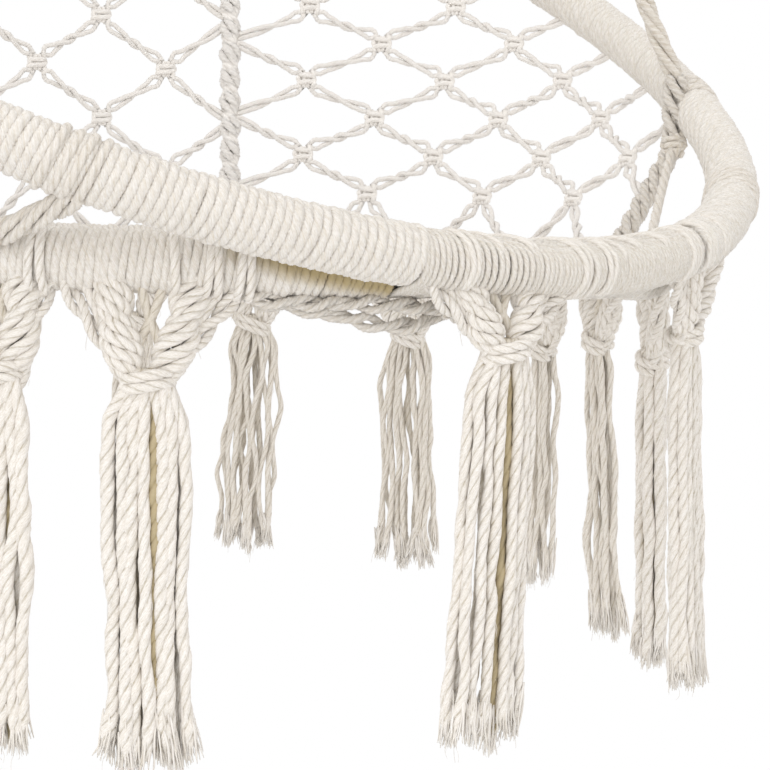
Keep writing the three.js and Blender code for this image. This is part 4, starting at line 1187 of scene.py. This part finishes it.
    def rows(self):
        """Each skirt cord's place across, how far it moves there where a parting closes, and its
        place along the way out, all as shares, and its shade."""
        parting = sum(wide for _, wide, _ in self.partings) / 2
        pitch = SKIRT_PITCH * (LOOSE_PITCH_SHARE if self.loose else 1.0) * (1 + parting)
        front = 1 + round(2 * SKIRT_HALF * self.skirt_share / pitch)
        spots = np.linspace(-1, 1, front)
        closing = 0 * spots
        behind = spots[:-1] + (0.3 if self.loose else 1) / (front - 1)
        core = () if self.loose else CORE_PLACES
        if self.partings:
            push = [wide / 2 * np.sign(spots - place) for place, wide, _ in self.partings]
            closed, spots = spots, (spots + sum(push)) / (1 + parting)
            closing = closed - spots
            behind = spots + self.back_shift / (SKIRT_HALF * self.skirt_share)
            core = [place for place, _, shaded_core in self.partings if shaded_core]
        places = [(x, move, depth * math.sqrt(1 - 0.6 * min(x * x, 1.0)), 0.0)
                  for row, depth in ((spots, 0.6), (behind, -0.55)) for x, move in zip(row, closing)]
        return places + [(x, 0.0, 0.2 if self.partings else 0.0, CORE_CORD_SHADE) for x in core]

    def width(self, x, closing, wide, share):
        """How far across a cord lies at a share of the skirt's length."""
        drawn = 1 - self.waist * bell(share - 0.66, 0.24)
        if self.waist:
            x = x + closing * ease((share - 0.68) / 0.16)
        return x * wide * self.skirt_share * drawn

    def aside(self, share):
        return self.shift + (self.foot_shift - self.shift) * np.maximum(share, 0.0) ** 1.2

    def core_shade(self, points):
        """Painted shade, stronger towards the skirt's middle, so that its crevices show warm."""
        share = (points[..., 2] + self.depth) / (self.foot + CORD_END + self.depth)
        offset = points - self.out * self.reach - self.aside(share)[..., None] * SIDEWAYS
        across = offset @ self.across / (SKIRT_HALF * self.skirt_share)
        depth = ease((0.80 - np.hypot(across, offset @ self.out / CORE_DEPTH)) / 0.5)
        return self.shade + (self.deep_shade - self.shade) * depth

    def skirt(self):
        random = self.weave.random
        top, foot = -self.depth, self.foot
        for x, closing, y, shade in self.rows():
            points = []
            x_off, y_off = random.normal(0, 0.7, 2)
            for share, wide, deep in SKIRT_SHAPE:
                free = ease(share * 4)
                stray = (PARTED_DRIFT if self.partings else CORD_DRIFT) * self.wavy * free
                drift = random.normal(0, 1.0, 2) * stray
                z = top + (foot + CORD_END - top) * share
                across = self.width(x, closing, wide, share) + drift[0] + x_off * free
                place = self.at(across, y * deep + drift[1] + y_off, z)
                points.append(place + SIDEWAYS * self.aside(share))
            points[-1] = points[-1] + Z * random.normal(0, 3.5)
            points[-1] = points[-1] + self.across * random.normal(0, 1.5)
            path = spline(points)
            for axis in (self.across, self.out):
                path = path + smooth_noise(random, len(path), 0.40, 6)[:, None] * axis
            to_end = runs(path)[-1] - runs(path)
            flare = 1 + END_FLARE * ease(1 - to_end / FLARE_LENGTH)
            flare = flare * (1 - END_CLOSING * ease(1 - to_end / CLOSING_LENGTH))
            radius = self.cord * random.uniform(0.9, 1.08)
            swell = 1 + smooth_noise(random, len(path), 0.07, 6)
            lay = SKIRT_LAY * random.uniform(0.82, 1.18)
            self.weave.tubes(path, radius * flare * swell, self.out, DEEP_PLY, lay,
                             shade or self.core_shade)
            self.fray(path, radius * (1 + END_FLARE))

    def fray(self, path, radius):
        """Loose fibres round a cord's end that run past it."""
        random = self.weave.random
        end, way = path[-1], unit(path[-1] - path[-4])
        share = np.linspace(0, 1, FRAY_SAMPLES)[None, :, None]
        turn = random.uniform(0, TAU, FRAY_CORDS)
        spread = random.uniform(0.45, 1, FRAY_CORDS)
        lean = np.stack([np.cos(turn), np.sin(turn)], axis=1) * spread[:, None]
        sideways = lean[:, :1] * self.across + lean[:, 1:] * self.out
        before = random.uniform(10.0, 24.0, FRAY_CORDS)[:, None]
        past = random.uniform(1.0, FRAY_PAST, FRAY_CORDS)[:, None]
        start = end - way * before + sideways * radius * 0.86
        flare = sideways * random.uniform(-1.2, 2.2, (FRAY_CORDS, 1))
        curl = random.normal(0, 0.7, (FRAY_CORDS, 3)) * np.array([1.0, 1.0, 0.2])
        paths = (
            start[:, None]
            + way * share * (before + past)[:, None]
            + flare[:, None] * share**1.7
            + curl[:, None] * np.sin(share * math.pi * 1.3)
        )
        radii = FRAY_CORD * np.linspace(1.2, 0.6, FRAY_SAMPLES)
        self.weave.tubes(paths, radii, self.across, FIBRE)

    def fuzz(self):
        """Fine fibres that stand off the head's and skirt's cords."""
        random = self.weave.random
        cords = np.concatenate(self.weave.points)
        start = cords[random.integers(0, len(cords), FUZZ_FIBRES)]
        lean = random.normal(0, 1.0, (FUZZ_FIBRES, 3))
        lean[:, 2] -= 0.8
        length = random.uniform(3.0, 6.5, (FUZZ_FIBRES, 1))
        curl = random.normal(0, 1.0, (FUZZ_FIBRES, 3))
        share = np.linspace(0, 1, 5)[None, :, None]
        paths = (
            start[:, None]
            + unit(lean)[:, None] * length[:, None] * share * FUZZ_LIFT
            - Z * (length[:, None] * share)
            + curl[:, None] * np.sin(share * math.pi) * 0.6
        )
        self.weave.tubes(paths, FUZZ_CORD, self.across, FIBRE)


for number, row in enumerate(TASSELS, 1):
    tassel = Tassel(number, *row)
    tassel.head()
    for across, lean in LOOPS.get(number, ()):
        tassel.loop(across, lean)
    tassel.skirt()
    tassel.fuzz()
    tassel.weave.piece(f"tassel_{number:02d}", TASSEL)


# The swag of cords under the front rim

SWAG_FROM = -29.0
SWAG_TO = -9.0
SWAG_LUMP = 27.0
# Depth under the seat hoop's middle along each strand, and how far out it hangs
SWAG_STRANDS = (((16.0, 17.5, 17.5, 18.0, 20.0), 6.0), ((16.0, 20.5, 25.0, 29.0, 22.0), 1.0))


def add_swag():
    weave = Weave(90)
    for depths, out in SWAG_STRANDS:
        share = np.linspace(0, 1, len(depths))
        line = SEAT.at(SWAG_FROM + (SWAG_TO - SWAG_FROM) * share, out, -np.array(depths))
        strand = spline(line)
        swell = 2.3 + 0.9 * np.sin(TAU * runs(strand) / SWAG_LUMP)
        add_twine(weave, strand, Z, 2, swell, 36.0, 2.5, 26.0)
    end = SEAT.at(SWAG_TO + 1.5, 9.0, -20.0)
    along = -SEAT.along(SWAG_TO)
    path = spline([end + along * 11.0 + Z * 3.0, end, end - along * 11.0 - Z * 6.0], FINE_STEP)
    facing = SEAT.out(SWAG_TO)
    weave.tubes(braid(path, facing, 4, 6.0, 3.5, 24.0), 2.7, facing, DEEP_PLY, 24.0)
    weave.piece("front_swag", ROPE)


add_swag()


# Steel that shows as the CAD model has it

for node, finish in (("hanging_ring", STEEL), ("seat_hoop_tube", TUBE), ("back_hoop_tube", TUBE)):
    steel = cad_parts[node]
    steel.data.materials.clear()
    steel.data.materials.append(finish.surface)


# Studio: pale floor, white surround, soft light

FLOOR_HEIGHT = -1.62  # metres here and below
FLOOR_RADIUS = 1.0
# Colour and strength of the surround, as it lights the chair and as the camera sees it
SURROUND = (((1.0, 0.988, 0.975, 1.0), 1.055), ((1.0, 1.0, 1.0, 1.0), 1.0))
# Lights: name, place, the height that it aims at, size and watts
LIGHTS = (("key", (-0.9, -0.9, 1.3), -0.9, 1.6, 9.0),
          ("fill", (-2.2, -1.2, -0.9), -0.95, 1.8, 11.0))


def add_floor():
    bpy.ops.mesh.primitive_circle_add(vertices=96, radius=FLOOR_RADIUS, fill_type="NGON",
                                      location=(0, 0, FLOOR_HEIGHT))
    floor = bpy.context.object
    floor.name = "studio_floor"
    material, _, surface = new_material("studio floor")
    surface["Base Color"].default_value = (0.9, 0.9, 0.9, 1.0)
    surface["Roughness"].default_value = 0.9
    floor.data.materials.append(material)


def add_surround():
    world = bpy.data.worlds.new("studio surround")
    bpy.context.scene.world = world
    world.use_nodes = True
    world.node_tree.nodes.clear()
    n = Nodes(world.node_tree)
    rays = n.node("ShaderNodeLightPath").outputs
    through = n.combined("MAXIMUM", rays["Is Glossy Ray"], rays["Is Transmission Ray"])
    mix = n.node("ShaderNodeMixShader")
    n.join(n.combined("MAXIMUM", rays["Is Camera Ray"], through), mix.inputs["Fac"])
    for index, (colour, strength) in enumerate(SURROUND, 1):
        light = n.node("ShaderNodeBackground")
        light.inputs["Color"].default_value = colour
        light.inputs["Strength"].default_value = strength
        n.join(light.outputs[0], mix.inputs[index])
    n.join(mix.outputs[0], n.node("ShaderNodeOutputWorld").inputs["Surface"])


def add_light(name, place, aim, size, watts):
    data = bpy.data.lights.new(name, "AREA")
    data.shape = "DISK"
    data.size = size
    data.energy = watts
    light = bpy.data.objects.new(name, data)
    bpy.context.scene.collection.objects.link(light)
    light.location = place
    way = Vector((0.0, 0.0, aim)) - Vector(place)
    light.rotation_euler = way.to_track_quat("-Z", "Y").to_euler()
    light.visible_camera = False


add_floor()
add_surround()
for light in LIGHTS:
    add_light(*light)


# Camera at the photo's angle

CAMERA_PLACE = (-0.8064, -1.0904, -0.9644)
CAMERA_YAW, CAMERA_PITCH, CAMERA_ROLL = map(math.radians, (-42.726, 4.2035, 1.929))
CAMERA_LENS = 100.515

right = Vector((math.cos(CAMERA_YAW), math.sin(CAMERA_YAW), 0.0))
back = Vector((math.sin(CAMERA_YAW) * math.cos(CAMERA_PITCH),
               -math.cos(CAMERA_YAW) * math.cos(CAMERA_PITCH), math.sin(CAMERA_PITCH)))
up = back.cross(right)
rolled_right = right * math.cos(CAMERA_ROLL) + up * math.sin(CAMERA_ROLL)
rolled_up = up * math.cos(CAMERA_ROLL) - right * math.sin(CAMERA_ROLL)
camera_data = bpy.data.cameras.new("camera")
camera_data.lens = CAMERA_LENS
camera_data.sensor_width = 36.0
camera_data.clip_start = 0.05
camera = bpy.data.objects.new("camera", camera_data)
bpy.context.scene.collection.objects.link(camera)
turn = Matrix((rolled_right, rolled_up, back)).transposed().to_4x4()
camera.matrix_world = Matrix.Translation(CAMERA_PLACE) @ turn
bpy.context.scene.camera = camera
bpy.context.scene.view_settings.view_transform = "Standard"
